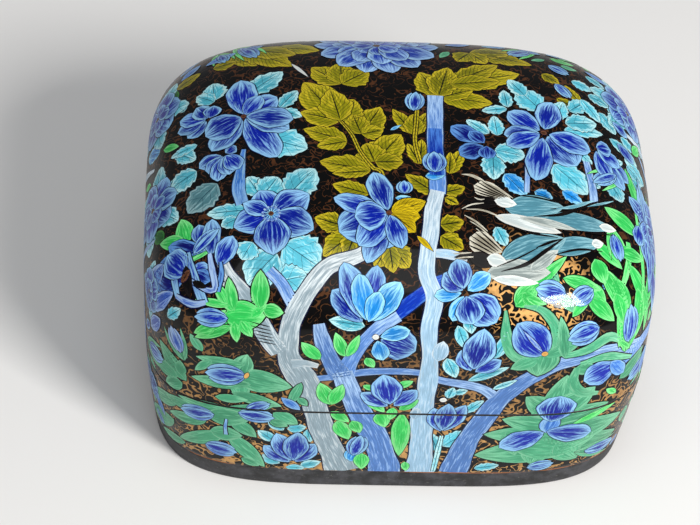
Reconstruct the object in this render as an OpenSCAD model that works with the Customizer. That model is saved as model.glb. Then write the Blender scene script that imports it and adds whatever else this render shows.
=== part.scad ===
// Painted papier mache keepsake box with a domed lid that lifts straight off.
// The plan is a rounded rectangle, the sides swell gently up to a widest level inside the lid,
// and the lid closes over them in one low dome. Millimetres, +Z up.
// The origin is on the table, under the middle of the box. X is the width, Y is the depth.
// The front, which the photograph shows, looks towards -Y.

/* [Outer form] */
// Width of the box at its widest level
box_w = 127; // [90:1:180]
// Depth of the box at its widest level
box_d = 102; // [80:1:150]
// Height from the table to the top of the lid
box_h = 76; // [66:1:110]
// Height of the widest level above the table
widest_z = 50; // [44:0.5:56]
// Share by which the foot is narrower than the widest level
foot_taper = 0.04; // [0.01:0.005:0.08]
// How the sides draw in below the widest level, from straight to late and round
side_curve = 2; // [1.2:0.1:3]
// How long the top of the dome stays flat
crown_fullness = 2.4; // [1.8:0.1:3]
// How full the shoulder of the dome stays
shoulder_fullness = 3; // [2:0.1:4]

/* [Plan outline] */
// Squareness of the outline at the foot, where 2 is an oval
foot_squareness = 4.4; // [3:0.1:6]
// Squareness of the outline at the seam
seam_squareness = 5.1; // [3:0.1:6]
// Squareness of the outline at the top of the dome
crown_squareness = 3.4; // [2.4:0.1:6]

/* [Seam and foot] */
// Height of the seam between base and lid
seam_z = 30.5; // [24:0.5:38]
// Thickness of the flat board that closes the base, whose edge is the dark foot band
board_t = 6.5; // [3:0.5:10]
// Worn-down edge on each side of the seam, which draws the dark line between the two
seam_ease = 0.35; // [0.1:0.05:0.8]
// Worn-down lower edge of the bottom board
foot_ease = 0.5; // [0.1:0.1:1.5]

/* [Walls] */
// Wall of the moulded lid
lid_wall = 3.2; // [2.4:0.1:5]
// Wall of the moulded base
base_wall = 3.6; // [2.4:0.1:5]

/* [Locating lip] */
// Thickness of the card strip inside the base
lip_t = 2; // [1.2:0.1:3]
// How far the strip rises out of the base into the lid
lip_rise = 6; // [3:0.5:10]
// Gap between the strip and the walls round it
lip_gap = 0.4; // [0.3:0.05:0.8]

/* [Hidden] */

// Sides of each ring of points, and how much they crowd into the four corners, in degrees.
ring_sides = 72;
corner_crowding = 7;
// Rings between the seam and the widest level, and from there to the top of the dome.
side_rings = 4;
dome_rings = 13;
// How much the dome's rings crowd towards the top.
dome_crowding = 2.2;
// Rings up the wall of the base, inside and outside.
base_rings = 6;

half_w = box_w / 2;
half_d = box_d / 2;
lip_top_z = seam_z + lip_rise;
// The widest of the two walls keeps the lip clear of both.
lip_inset = max(lid_wall, base_wall) + lip_gap;

painted = [0.10, 0.16, 0.42];
painted_lid = [0.14, 0.24, 0.55];
bare_board = [0.16, 0.16, 0.16];
black_card = [0.05, 0.05, 0.06];

// Squareness of the plan outline at a height: foot to seam, then seam to crown.
function squareness(z) =
    z <= seam_z
    ? foot_squareness + (seam_squareness - foot_squareness) * z / seam_z
    : seam_squareness + (crown_squareness - seam_squareness) * (z - seam_z) / (box_h - seam_z);

// Half size of the outline at a height, for a surface that lies a wall's thickness inside.
function half_at(half, z, inset) =
    z <= widest_z
    ? half * (1 - foot_taper * pow((widest_z - z) / widest_z, side_curve)) - inset
    : (half - inset) * dome_share(z, inset);

// Share of the widest outline that is left at a height in the dome.
function dome_share(z, inset) =
    let (rise = min(1, (z - widest_z) / (box_h - inset - widest_z)))
    pow(1 - pow(rise, crown_fullness), 1 / shoulder_fullness);

// Angle of one point of a ring; the points stand closer together round the corners.
function ring_angle(i) = let (even = 360 * i / ring_sides) even + corner_crowding * sin(4 * even);

// One ring of the rounded rectangle, from its half sizes, squareness and height.
function ring(a, b, n, z) = [
    for (i = [0 : ring_sides - 1])
        let (c = cos(ring_angle(i)), s = sin(ring_angle(i)))
        let (reach = pow(pow(abs(c), n) + pow(abs(s), n), -1 / n))
        [a * reach * c, b * reach * s, z]
];

// One ring of the box's surface, or of a surface that lies inside it.
function surface_ring(z, inset) =
    ring(half_at(half_w, z, inset), half_at(half_d, z, inset), squareness(z), z);

// The eased ring at an edge: the size at one height, set in, at the edge's own height.
function edge_ring(z, ease) =
    ring(half_at(half_w, z, 0) - ease, half_at(half_d, z, 0) - ease, squareness(z), z);

// One ring of the lip. Above the seam it stays inside every level that slides past it.
function lip_ring(z, inset) =
    ring(lip_half(half_w, z, inset), lip_half(half_d, z, inset), squareness(z), z);
function lip_half(half, z, inset) =
    min(half_at(half, min(z, seam_z), 0), half_at(half, z, 0)) - inset;

// Evenly spaced heights, and heights that crowd towards the second one.
function heights(from, to, count) = [for (i = [0 : count]) from + (to - from) * i / count];
function crowded_heights(from, to, count) = [
    for (i = [1 : count - 1]) from + (to - from) * (1 - pow(1 - i / count, dome_crowding))
];

function reversed(list) = [for (i = [len(list) - 1 : -1 : 0]) list[i]];

// Triangles between two rings of a stack, each ring given by its first point's number.
function band(lower, upper) = [
    for (i = [0 : ring_sides - 1])
        let (j = (i + 1) % ring_sides)
        each [
            [lower + i, upper + i, upper + j],
            [lower + i, upper + j, lower + j]
        ]
];

function all_points(rings) = [for (one = rings) each one];
function all_bands(rings) = [
    for (k = [0 : len(rings) - 2]) each band(k * ring_sides, (k + 1) * ring_sides)
];

// A solid skinned over a stack of rings, closed by a point at each end.
module capped_stack(rings, first_point, last_point) {
    count = len(rings) * ring_sides;
    last = count - ring_sides;
    first_cap = [for (i = [0 : ring_sides - 1]) [i, (i + 1) % ring_sides, count]];
    last_cap = [for (i = [0 : ring_sides - 1]) [last + (i + 1) % ring_sides, last + i, count + 1]];
    polyhedron(
        points = concat(all_points(rings), [first_point, last_point]),
        faces = concat(all_bands(rings), first_cap, last_cap),
        convexity = 6
    );
}

// A solid skinned over a stack of rings whose last ring joins the first.
module looped_stack(rings) {
    last = (len(rings) - 1) * ring_sides;
    polyhedron(
        points = all_points(rings),
        faces = concat(all_bands(rings), band(last, 0)),
        convexity = 6
    );
}

// Flat board that closes the base. Its matt edge shows as the band round the foot.
module bottom_board() {
    rings = concat(
        [edge_ring(0, foot_ease)],
        [for (z = [foot_ease, (foot_ease + board_t) / 2, board_t]) surface_ring(z, 0)]
    );
    color(bare_board) capped_stack(rings, [0, 0, 0], [0, 0, board_t]);
}

// Moulded wall of the base, from the board up to the seam.
module base_shell() {
    inside = [for (z = heights(seam_z, board_t, base_rings)) surface_ring(z, base_wall)];
    outside = [for (z = heights(board_t, seam_z - seam_ease, base_rings)) surface_ring(z, 0)];
    color(painted) looped_stack(concat(inside, outside, [edge_ring(seam_z, seam_ease)]));
}

// Card strip that stands on the board inside the base and guides the lid.
module inner_lip() {
    levels = concat(heights(board_t, seam_z, base_rings), heights(seam_z, lip_top_z, 2));
    outside = [for (z = unique(levels)) lip_ring(z, lip_inset)];
    inside = [for (z = reversed(unique(levels))) lip_ring(z, lip_inset + lip_t)];
    color(black_card) looped_stack(concat(inside, outside));
}

// A rising list of heights with each one kept once.
function unique(list) = [for (i = [0 : len(list) - 1]) if (i == 0 || list[i] > list[i - 1]) list[i]];

// Moulded lid: the upper part of the sides and the dome, hollow below.
module lid_shell() {
    sides = heights(seam_z + seam_ease, widest_z, side_rings);
    dome = crowded_heights(widest_z, box_h, dome_rings);
    hollow_top_z = box_h - lid_wall;
    hollow_sides = heights(seam_z, widest_z, side_rings);
    hollow_dome = crowded_heights(widest_z, hollow_top_z, dome_rings);
    outside = [for (z = concat(sides, dome)) surface_ring(z, 0)];
    inside = [for (z = reversed(concat(hollow_sides, hollow_dome))) surface_ring(z, lid_wall)];
    color(painted_lid)
        capped_stack(
            concat(inside, [edge_ring(seam_z, seam_ease)], outside),
            [0, 0, hollow_top_z],
            [0, 0, box_h]
        );
}

bottom_board();
base_shell();
inner_lip();
lid_shell();
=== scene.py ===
"""Painted papier mache keepsake box: a lacquered, domed box covered with flowers, leaves and two birds.

Lengths here are millimetres until a piece is finished, which turns its mesh into metres."""
import math
import random
from typing import NamedTuple

import bmesh
import bpy
import numpy as np
from mathutils import Matrix, Vector, kdtree


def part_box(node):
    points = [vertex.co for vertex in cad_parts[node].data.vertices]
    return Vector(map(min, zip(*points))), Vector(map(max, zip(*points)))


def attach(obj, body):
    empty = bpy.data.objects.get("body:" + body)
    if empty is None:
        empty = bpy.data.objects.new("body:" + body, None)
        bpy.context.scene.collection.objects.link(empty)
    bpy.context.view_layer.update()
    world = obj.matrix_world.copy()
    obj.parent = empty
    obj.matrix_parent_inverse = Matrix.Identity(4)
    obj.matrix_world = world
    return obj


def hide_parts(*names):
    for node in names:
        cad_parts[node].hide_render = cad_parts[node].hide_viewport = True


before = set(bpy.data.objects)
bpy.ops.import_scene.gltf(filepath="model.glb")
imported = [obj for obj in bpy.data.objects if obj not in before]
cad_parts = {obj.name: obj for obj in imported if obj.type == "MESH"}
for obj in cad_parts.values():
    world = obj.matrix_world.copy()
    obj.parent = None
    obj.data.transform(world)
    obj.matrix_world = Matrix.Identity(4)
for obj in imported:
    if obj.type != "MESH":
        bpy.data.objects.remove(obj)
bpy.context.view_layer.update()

MM = 0.001

# The form, which repeats the solids' own sizes. The paint stands inside the box's full size.
lid_low, lid_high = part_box("lid_shell")
_, board_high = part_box("bottom_board")
_, lip_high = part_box("inner_lip")
PAINT_DEPTH = 0.22
HALF_W = lid_high.x / MM - PAINT_DEPTH
HALF_D = lid_high.y / MM - PAINT_DEPTH
TOP_Z = lid_high.z / MM - PAINT_DEPTH
SEAM_Z = lid_low.z / MM
FOOT_Z = board_high.z / MM
LIP_TOP_Z = lip_high.z / MM
WIDEST_Z = 50.0
FOOT_TAPER = 0.04
SIDE_CURVE = 2.0
CROWN_FULLNESS = 2.4
SHOULDER_FULLNESS = 3.0
FOOT_SQUARENESS = 4.4
SEAM_SQUARENESS = 5.1
CROWN_SQUARENESS = 3.4
SEAM_EASE = 0.35
FOOT_EASE = 0.5
LID_WALL = 3.2
BASE_WALL = 3.6
LIP_WALL = 2.0
LIP_GAP = 0.4


# The box's surface

def squareness(z):
    """How square the outline is at a height, where 2 is an oval."""
    below = FOOT_SQUARENESS + (SEAM_SQUARENESS - FOOT_SQUARENESS) * z / SEAM_Z
    above = SEAM_SQUARENESS + (CROWN_SQUARENESS - SEAM_SQUARENESS) * (z - SEAM_Z) / (TOP_Z - SEAM_Z)
    return np.where(z <= SEAM_Z, below, above)


def side_share(z):
    """Share of the widest outline that the sides keep at a height below it."""
    drop = np.clip((WIDEST_Z - z) / WIDEST_Z, 0, None)
    return 1 - FOOT_TAPER * drop ** SIDE_CURVE


def dome_share(z, inset):
    """Share of the widest outline that is left at a height in the dome."""
    rise = np.clip((z - WIDEST_Z) / (TOP_Z - inset - WIDEST_Z), 0, 1)
    return (1 - rise ** CROWN_FULLNESS) ** (1 / SHOULDER_FULLNESS)


def half_sizes(z, inset):
    """Half width and half depth at a height, for a surface that lies inset inside the painted one."""
    if z <= WIDEST_Z:
        return [half * float(side_share(z)) - inset for half in (HALF_W, HALF_D)]
    return [(half - inset) * float(dome_share(z, inset)) for half in (HALF_W, HALF_D)]


def form_gap(points):
    """How far points lie outside the painted surface, as a share of its size; inside is negative."""
    x, y, z = np.moveaxis(points, -1, 0)
    n = squareness(z)
    reach = ((np.abs(x) / HALF_W) ** n + (np.abs(y) / HALF_D) ** n) ** (1 / n)
    rise = np.clip((z - WIDEST_Z) / (TOP_Z - WIDEST_Z), 0, None)
    dome = (reach ** SHOULDER_FULLNESS + rise ** CROWN_FULLNESS) ** (1 / SHOULDER_FULLNESS)
    return np.where(z <= WIDEST_Z, reach / side_share(z), dome) - 1


# The step that slopes are measured over, and how often a point is moved towards the surface.
PROBE = 0.01
PRESSES = 4


def form_slope(points):
    """The direction in which form_gap grows fastest, with its rate."""
    probes = np.eye(3) * PROBE
    return np.stack([(form_gap(points + d) - form_gap(points - d)) / (2 * PROBE) for d in probes], -1)


def press(points, lift):
    """Points brought onto the painted surface, then lifted off it by lift."""
    for _ in range(PRESSES):
        slope = form_slope(points)
        points = points - slope * (form_gap(points) / (slope ** 2).sum(-1))[..., None]
    slope = form_slope(points)
    return points + slope / np.linalg.norm(slope, axis=-1, keepdims=True) * lift


class Spot(NamedTuple):
    """A place on the surface, with its rightward, upward and outward directions."""
    point: np.ndarray
    right: np.ndarray
    up: np.ndarray
    out: np.ndarray


# Each side's rightward, upward and outward directions as one looks at it.
SIDES = {
    "top": ((1, 0, 0), (0, 1, 0), (0, 0, 1)),
    "front": ((1, 0, 0), (0, 0, 1), (0, -1, 0)),
    "right": ((0, 1, 0), (0, 0, 1), (1, 0, 0)),
    "back": ((-1, 0, 0), (0, 0, 1), (0, 1, 0)),
    "left": ((0, -1, 0), (0, 0, 1), (-1, 0, 0)),
}
FAR_OUT = 90.0
HALVINGS = 40


def spot(side, across, height):
    """The place seen at across and height on a side; height on the top is the distance to the back."""
    right, up, out = [np.array(d, float) for d in SIDES[side]]
    start = right * across + up * height
    near, far = (WIDEST_Z if side == "top" else 0.0), FAR_OUT
    for _ in range(HALVINGS):
        middle = (near + far) / 2
        if form_gap(start + out * middle) > 0:
            far = middle
        else:
            near = middle
    point = start + out * near
    slope = form_slope(point)
    out = slope / np.linalg.norm(slope)
    up = up - out * (up @ out)
    up = up / np.linalg.norm(up)
    return Spot(point, np.cross(up, out), up, out)


# Shells

RING_SIDES = 384
CORNER_CROWDING = math.radians(7)
DOME_CROWDING = 3.2
# The spacing of rings on the painted outside, where nobody looks closely, and on the board's edge.
SKIN_STEP = 0.8
HIDDEN_STEP = 2.0
BOARD_STEP = 1.0
# The half depth of the ring round the middle of a flat face.
MIDDLE_RING = 1.0
LIP_EASE = 0.5


class Level(NamedTuple):
    """One ring of a shell: its half sizes, squareness and height, and the finish below it."""
    half_w: float
    half_d: float
    square: float
    z: float
    finish: int


def level(z, inset=0.0, finish=0, flat_inset=0.0):
    """The form's ring at a height, a wall's inset inside it; flat_inset draws it in further."""
    half_w, half_d = half_sizes(z, inset)
    return Level(half_w - flat_inset, half_d - flat_inset, float(squareness(z)), z, finish)


def shape_ring(verts, last, new):
    """Moves the points of a ring from one level's outline to another's, each at its own turn."""
    for v in verts:
        turn = math.atan2(v.co.y / last.half_d, v.co.x / last.half_w)
        c, s = math.cos(turn), math.sin(turn)
        reach = (abs(c) ** new.square + abs(s) ** new.square) ** (-1 / new.square)
        v.co = Vector((new.half_w * reach * c, new.half_d * reach * s, new.z))


def loft(levels, closed):
    """A skin drawn through rings; closed joins the last to the first, or else both end in a point."""
    bm = bmesh.new()
    start = bmesh.ops.create_circle(bm, segments=RING_SIDES, radius=1.0, cap_ends=False)["verts"]
    for v in start:
        turn = math.atan2(v.co.y, v.co.x)
        turn += CORNER_CROWDING * math.sin(4 * turn)
        v.co = Vector((math.cos(turn), math.sin(turn), 0))
    last = Level(1.0, 1.0, 2.0, 0.0, 0)
    shape_ring(start, last, levels[0])
    last = levels[0]
    first_edges = edges = list(bm.edges)
    for new in levels[1:]:
        grown = bmesh.ops.extrude_edge_only(bm, edges=edges)["geom"]
        verts = [g for g in grown if isinstance(g, bmesh.types.BMVert)]
        edges = [g for g in grown if isinstance(g, bmesh.types.BMEdge)]
        for face in [g for g in grown if isinstance(g, bmesh.types.BMFace)]:
            face.material_index = new.finish
        fresh = set(verts)
        edges = [e for e in edges if e.verts[0] in fresh and e.verts[1] in fresh]
        shape_ring(verts, last, new)
        last = new
    if closed:
        for face in bmesh.ops.bridge_loops(bm, edges=first_edges + edges)["faces"]:
            face.material_index = levels[0].finish
    else:
        bmesh.ops.pointmerge(bm, verts=start, merge_co=(0, 0, levels[0].z))
        bmesh.ops.pointmerge(bm, verts=verts, merge_co=(0, 0, last.z))
    bmesh.ops.recalc_face_normals(bm, faces=bm.faces)
    return bm


def steps(start, end, length):
    """Heights from start to end, evenly spaced by about length."""
    return np.linspace(start, end, max(2, round(abs(end - start) / length) + 1)).tolist()


def dome_heights(top, length):
    """Heights over the dome up to just under its top, closer together as it flattens."""
    count = round((top - WIDEST_Z + HALF_D) / length)
    turns = np.linspace(0, 1, count + 1)[1:-1]
    return (WIDEST_Z + (top - WIDEST_Z) * (1 - (1 - turns) ** DOME_CROWDING)).tolist()


def finish_piece(bm, name, body, materials, node=None):
    """Turns a finished mesh into a piece in metres that rides on a body."""
    bmesh.ops.transform(bm, matrix=Matrix.Scale(MM, 4), verts=bm.verts)
    for face in bm.faces:
        face.smooth = True
    mesh = bpy.data.meshes.new(name)
    bm.to_mesh(mesh)
    bm.free()
    for material in materials:
        mesh.materials.append(material)
    piece = bpy.data.objects.new(name, mesh)
    bpy.context.scene.collection.objects.link(piece)
    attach(piece, body)
    if node:
        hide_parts(node)


def worn_edge(edge_z, full_z, ease, finish):
    """A worn, rounded edge, from its own height to where the wall is full again."""
    rows = []
    for turn in (0, 30, 60, 90):
        rise = 1 - math.cos(math.radians(turn))
        inset = ease * (1 - math.sin(math.radians(turn)))
        rows.append(level(edge_z + (full_z - edge_z) * rise, 0.0, finish, inset))
    return rows


def make_lid(materials):
    """From the middle of the ceiling down to the rim, round it and up over the dome."""
    ceiling = TOP_Z - LID_WALL
    inside = dome_heights(ceiling, HIDDEN_STEP)[::-1] + steps(WIDEST_Z, SEAM_Z, HIDDEN_STEP)
    outside = steps(SEAM_Z + SEAM_EASE, WIDEST_Z, SKIN_STEP) + dome_heights(TOP_Z, SKIN_STEP)
    rows = [level(z, LID_WALL, finish=1) for z in inside]
    rows += worn_edge(SEAM_Z, SEAM_Z + SEAM_EASE, SEAM_EASE, finish=2)
    rows += [level(z) for z in outside[1:]]
    finish_piece(loft(rows, closed=False), "lid_skin", "lid", materials, "lid_shell")


def make_base_wall(materials):
    """From the rim's outer edge over it, down inside, and up the outside again."""
    edge = worn_edge(SEAM_Z, SEAM_Z - SEAM_EASE, SEAM_EASE, finish=2)
    inside = steps(SEAM_Z, FOOT_Z, HIDDEN_STEP)
    outside = steps(FOOT_Z, SEAM_Z - SEAM_EASE, SKIN_STEP)
    rows = [edge[0], level(inside[0], BASE_WALL, finish=2)]
    rows += [level(z, BASE_WALL, finish=1) for z in inside[1:]]
    rows += [level(outside[0], finish=1)] + [level(z) for z in outside[1:]]
    rows += edge[2:0:-1]
    finish_piece(loft(rows, closed=True), "base_skin", "base", materials, "base_shell")


def make_foot_board(materials):
    """The mottled board outside and below, with black paint on its upper face."""
    outside = steps(FOOT_EASE, FOOT_Z, BOARD_STEP)
    to_middle = HALF_D - MIDDLE_RING
    rows = [level(0.0, flat_inset=to_middle)]
    rows += worn_edge(0.0, FOOT_EASE, FOOT_EASE, finish=0)
    rows += [level(z) for z in outside[1:]]
    rows += [level(FOOT_Z, BASE_WALL, finish=1), level(FOOT_Z, finish=1, flat_inset=to_middle)]
    finish_piece(loft(rows, closed=False), "foot_board", "base", materials, "bottom_board")


def make_lip(materials):
    """Up its outside, over its eased top and down its inside, never wider than at the seam."""
    inset = BASE_WALL + LIP_GAP
    soft = LIP_EASE * 0.3
    seam_w, seam_d = half_sizes(SEAM_Z, inset)

    def row(z, extra):
        half_w, half_d = half_sizes(z, inset)
        return Level(min(half_w, seam_w) - extra, min(half_d, seam_d) - extra, float(squareness(z)), z, 0)

    heights = steps(FOOT_Z, LIP_TOP_Z - LIP_EASE, HIDDEN_STEP)
    rows = [row(z, 0.0) for z in heights]
    rows += [row(LIP_TOP_Z - soft, soft), row(LIP_TOP_Z, LIP_EASE), row(LIP_TOP_Z, LIP_WALL - LIP_EASE)]
    rows += [row(LIP_TOP_Z - soft, LIP_WALL - soft)] + [row(z, LIP_WALL) for z in heights[::-1]]
    finish_piece(loft(rows, closed=True), "card_lip", "base", materials, "inner_lip")


# Nodes

def node(tree, kind, inputs=None, **settings):
    """A new node, with its inputs linked or set by label or number."""
    made = tree.nodes.new(kind)
    for name, value in settings.items():
        setattr(made, name, value)
    for name, value in (inputs or {}).items():
        if isinstance(value, bpy.types.NodeSocket):
            tree.links.new(value, made.inputs[name])
        else:
            made.inputs[name].default_value = value
    return made


def maths(tree, operation, a, b=0.0, c=0.0):
    """One of the Math node's operations on up to three values."""
    return node(tree, "ShaderNodeMath", {0: a, 1: b, 2: c}, operation=operation).outputs[0]


def product(tree, a, b):
    """One value times another."""
    return maths(tree, "MULTIPLY", a, b)


def remainder(tree, share):
    """What a share leaves of one."""
    return maths(tree, "SUBTRACT", 1.0, share)


def parts_of(tree, vector):
    """A vector's three parts."""
    return node(tree, "ShaderNodeSeparateXYZ", {0: vector}).outputs


def own_place(tree):
    """Where a shaded point lies in its own piece, in metres."""
    return node(tree, "ShaderNodeTexCoord").outputs["Object"]


def eased(tree, value, low, high, start=0.0, end=1.0):
    """value's place between low and high, eased at both ends."""
    inputs = {"Value": value, "From Min": low, "From Max": high, "To Min": start, "To Max": end}
    return node(tree, "ShaderNodeMapRange", inputs, interpolation_type="SMOOTHSTEP").outputs[0]


def blended(tree, share, a, b, blend_type="MIX"):
    """Colour a, with as much of colour b laid over it as share says."""
    inputs = {0: share, 6: a, 7: b}
    return node(tree, "ShaderNodeMix", inputs, data_type="RGBA", blend_type=blend_type).outputs[2]


def mottle(tree, vector, scale, detail=2.0, roughness=0.5, distortion=0.0):
    """Cloudy noise from 0 to 1; the scale counts its blotches to the metre."""
    inputs = {"Vector": vector, "Scale": scale, "Detail": detail}
    inputs |= {"Roughness": roughness, "Distortion": distortion}
    return node(tree, "ShaderNodeTexNoise", inputs).outputs["Fac"]


def tint(red, green, blue):
    """A screen colour, 0 to 255 each, as the linear colour that nodes take."""
    return tuple((c / 255) ** 2.2 for c in (red, green, blue)) + (1.0,)


def new_material(name):
    """A material with one shader, its node tree and that shader."""
    material = bpy.data.materials.new(name)
    material.use_nodes = True
    tree = material.node_tree
    tree.nodes.clear()
    shader = tree.nodes.new("ShaderNodeBsdfPrincipled")
    output = tree.nodes.new("ShaderNodeOutputMaterial")
    tree.links.new(shader.outputs[0], output.inputs[0])
    return material, tree, shader


def dress(tree, shader, paint, roughness, height, strength, depth):
    """Gives a shader its paint, its roughness and a relief depth millimetres deep."""
    bump = node(tree, "ShaderNodeBump", {"Height": height, "Strength": strength, "Distance": depth * MM})
    links = {"Normal": bump.outputs[0], "Base Color": paint, "Roughness": roughness}
    for label, value in links.items():
        tree.links.new(value, shader.inputs[label])


GLOSS = {"Specular IOR Level": 0.06, "Coat Weight": 0.32, "Coat Roughness": 0.07, "Coat IOR": 1.5}


def lacquered(tree, shader, paint, brushed, smoothest, roughest):
    """Paint under gloss lacquer, which swells a little and shows the brush's relief."""
    swell = mottle(tree, own_place(tree), 60.0, detail=3.0)
    height = maths(tree, "MULTIPLY_ADD", swell, 3.0, brushed)
    dress(tree, shader, paint, eased(tree, swell, 0.3, 0.7, smoothest, roughest), height, 1.0, 0.05)
    for label, value in GLOSS.items():
        shader.inputs[label].default_value = value


def new_group(name, inputs, outputs):
    """An empty shader group with its named sockets; inputs gives each one's kind and value."""
    group = bpy.data.node_groups.new(name, "ShaderNodeTree")
    for label, (kind, value) in inputs.items():
        socket = group.interface.new_socket(name=label, in_out="INPUT", socket_type=kind)
        if value is not None:
            socket.default_value = value
    for label, kind in outputs.items():
        group.interface.new_socket(name=label, in_out="OUTPUT", socket_type=kind)
    return group, group.nodes.new("NodeGroupInput").outputs, group.nodes.new("NodeGroupOutput").inputs


FLOAT, COLOR, VECTOR = "NodeSocketFloat", "NodeSocketColor", "NodeSocketVector"


def build_feathering():
    """Petal and leaf paint: a pale edge laid in over a deep heart with fine strokes, in a dark outline."""
    group, have, give = new_group(
        "feathering",
        {
            "Edge paint": (COLOR, None),
            "Heart paint": (COLOR, None),
            "Outline paint": (COLOR, None),
            "Stroke": (VECTOR, None),
            "Share": (VECTOR, None),
            "Feather": (FLOAT, 1.0),
            "Streak": (FLOAT, 0.8),
            "Outline": (FLOAT, 0.25),
        },
        {"Paint": COLOR, "Height": FLOAT},
    )
    stroke = parts_of(group, have["Stroke"])
    share = parts_of(group, have["Share"])
    # Hairs run along the stroke, and each sheet's own seed sets them apart from the next one's.
    brush = node(group, "ShaderNodeCombineXYZ", {
        0: product(group, stroke[0], 0.22),
        1: product(group, stroke[1], 2.1),
        2: product(group, share[2], 91.0),
    }).outputs[0]
    hairs = eased(group, mottle(group, brush, 1.0, detail=3.0, roughness=0.6), 0.3, 0.7)
    swing = maths(group, "MULTIPLY_ADD", hairs, 2.0, -1.0)
    depth = maths(group, "MULTIPLY_ADD", swing, have["Streak"], stroke[2])
    pale = remainder(group, eased(group, depth, 0.1, have["Feather"]))
    tip = eased(group, maths(group, "MULTIPLY_ADD", swing, 0.25, share[0]), 0.5, 1.1)
    pale = maths(group, "MAXIMUM", pale, product(group, tip, 0.85))
    light_strokes = eased(group, hairs, 0.66, 1.0, 0.0, 0.5)
    pale = maths(group, "MAXIMUM", pale, light_strokes)
    paint = blended(group, pale, have["Heart paint"], have["Edge paint"])
    wash = eased(group, hairs, 0.0, 1.0, 0.82, 1.1)
    shade = node(group, "ShaderNodeCombineColor", {0: wash, 1: wash, 2: wash}).outputs[0]
    paint = blended(group, 1.0, paint, shade, "MULTIPLY")
    wobble = maths(group, "MULTIPLY_ADD", swing, 0.08, stroke[2])
    inner = product(group, have["Outline"], 0.55)
    line = remainder(group, eased(group, wobble, inner, have["Outline"]))
    group.links.new(blended(group, line, paint, have["Outline paint"]), give["Paint"])
    group.links.new(maths(group, "MULTIPLY_ADD", pale, 0.5, hairs), give["Height"])
    return group


def build_scribble():
    """The ground: gold worm-like lines, which thicken into gold patches broken by dark ones."""
    group, have, give = new_group(
        "scribble",
        {"Place": (VECTOR, None), "Gold": (COLOR, None), "Ground": (COLOR, None), "Cover": (FLOAT, 0.5)},
        {"Paint": COLOR, "Height": FLOAT},
    )
    worms = mottle(group, have["Place"], 420.0, detail=0.6, roughness=0.4, distortion=1.1)
    near = maths(group, "ABSOLUTE", maths(group, "SUBTRACT", worms, 0.5))
    patches = mottle(group, have["Place"], 120.0, detail=1.0)
    amount = product(group, have["Cover"], eased(group, patches, 0.36, 0.62, 0.25, 1.0))
    width = product(group, amount, 0.1)
    gold = remainder(group, eased(group, near, product(group, width, 0.8), width))
    tone = mottle(group, have["Place"], 700.0)
    worn = blended(group, 0.4, have["Gold"], have["Ground"])
    leaf = blended(group, eased(group, tone, 0.4, 0.7), have["Gold"], worn)
    group.links.new(blended(group, gold, have["Ground"], leaf), give["Paint"])
    group.links.new(gold, give["Height"])
    return group


def attribute(tree, name, output):
    """What a mesh says at a point under a name."""
    return node(tree, "ShaderNodeAttribute", attribute_name=name).outputs[output]


# The heights above which the gold is painted dim, as painted shade, and below which it is painted bright, as
# a painted reflection of the floor; and where a painted highlight makes it bright on the dome: round one
# place below the birds, out to where it fades and in to where it is full.
SHADED_GOLD_FROM, REFLECTING_GOLD_FROM = 70 * MM, 12 * MM
GOLD_HIGHLIGHT_PLACE = (30 * MM, -41 * MM, 65 * MM)
GOLD_HIGHLIGHT_REACH = (18 * MM, 8 * MM)


def ground_material(name, scribble):
    """Black lacquered ground with gold scribble, painted dim on the dome as painted shade, and painted bright
    low down and by the birds as painted reflection and highlight.
    """
    material, tree, shader = new_material(name)
    place = own_place(tree)
    # Painted light: the gold's colour, and how much gold there is, follow a mask of painted shade high up,
    # painted reflection low down and a painted highlight below the birds.
    low = eased(tree, parts_of(tree, place)[2], SHADED_GOLD_FROM, REFLECTING_GOLD_FROM, 0.0, 0.7)
    aside = node(tree, "ShaderNodeVectorMath", {0: place, 1: GOLD_HIGHLIGHT_PLACE}, operation="DISTANCE")
    near = eased(tree, aside.outputs["Value"], *GOLD_HIGHLIGHT_REACH)
    painted_gold_light = maths(tree, "MAXIMUM", low, near)
    inputs = {
        "Place": place,
        "Gold": blended(tree, painted_gold_light, tint(78, 48, 28), tint(226, 172, 104)),
        "Ground": tint(6, 4, 4),
        "Cover": maths(tree, "MULTIPLY_ADD", painted_gold_light, 0.66, 0.5),
    }
    marks = node(tree, "ShaderNodeGroup", inputs, node_tree=scribble).outputs
    lacquered(tree, shader, marks["Paint"], marks["Height"], 0.32, 0.45)
    return material


def brushed_material(name, feathering, outline, feather, streak, line_width, veins=None):
    """Paint laid on in strokes that follow each petal, leaf or branch."""
    material, tree, shader = new_material(name)
    stroke = attribute(tree, "stroke", "Vector")
    inputs = {
        "Edge paint": attribute(tree, "edge_paint", "Color"),
        "Heart paint": attribute(tree, "heart_paint", "Color"),
        "Stroke": stroke,
        "Share": attribute(tree, "share", "Vector"),
        "Outline paint": outline,
        "Feather": feather,
        "Streak": streak,
        "Outline": line_width,
    }
    brush = node(tree, "ShaderNodeGroup", inputs, node_tree=feathering).outputs
    paint = brush["Paint"]
    if veins:
        paint = veined(tree, paint, stroke, outline, *veins)
    lacquered(tree, shader, paint, brush["Height"], 0.3, 0.42)
    return material


def veined(tree, paint, stroke, line_paint, pitch, lean, thickness):
    """Adds a dark middle vein and slanting side veins."""
    parts = parts_of(tree, stroke)
    aside = maths(tree, "ABSOLUTE", parts[1])
    middle = remainder(tree, eased(tree, aside, thickness * 0.6, thickness * 1.5))
    slant = maths(tree, "SUBTRACT", parts[0], product(tree, aside, lean))
    saw = maths(tree, "PINGPONG", slant, pitch)
    side = product(tree, remainder(tree, eased(tree, saw, thickness * 0.4, thickness * 1.3)), 0.8)
    return blended(tree, maths(tree, "MAXIMUM", middle, side), paint, line_paint)


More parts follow.
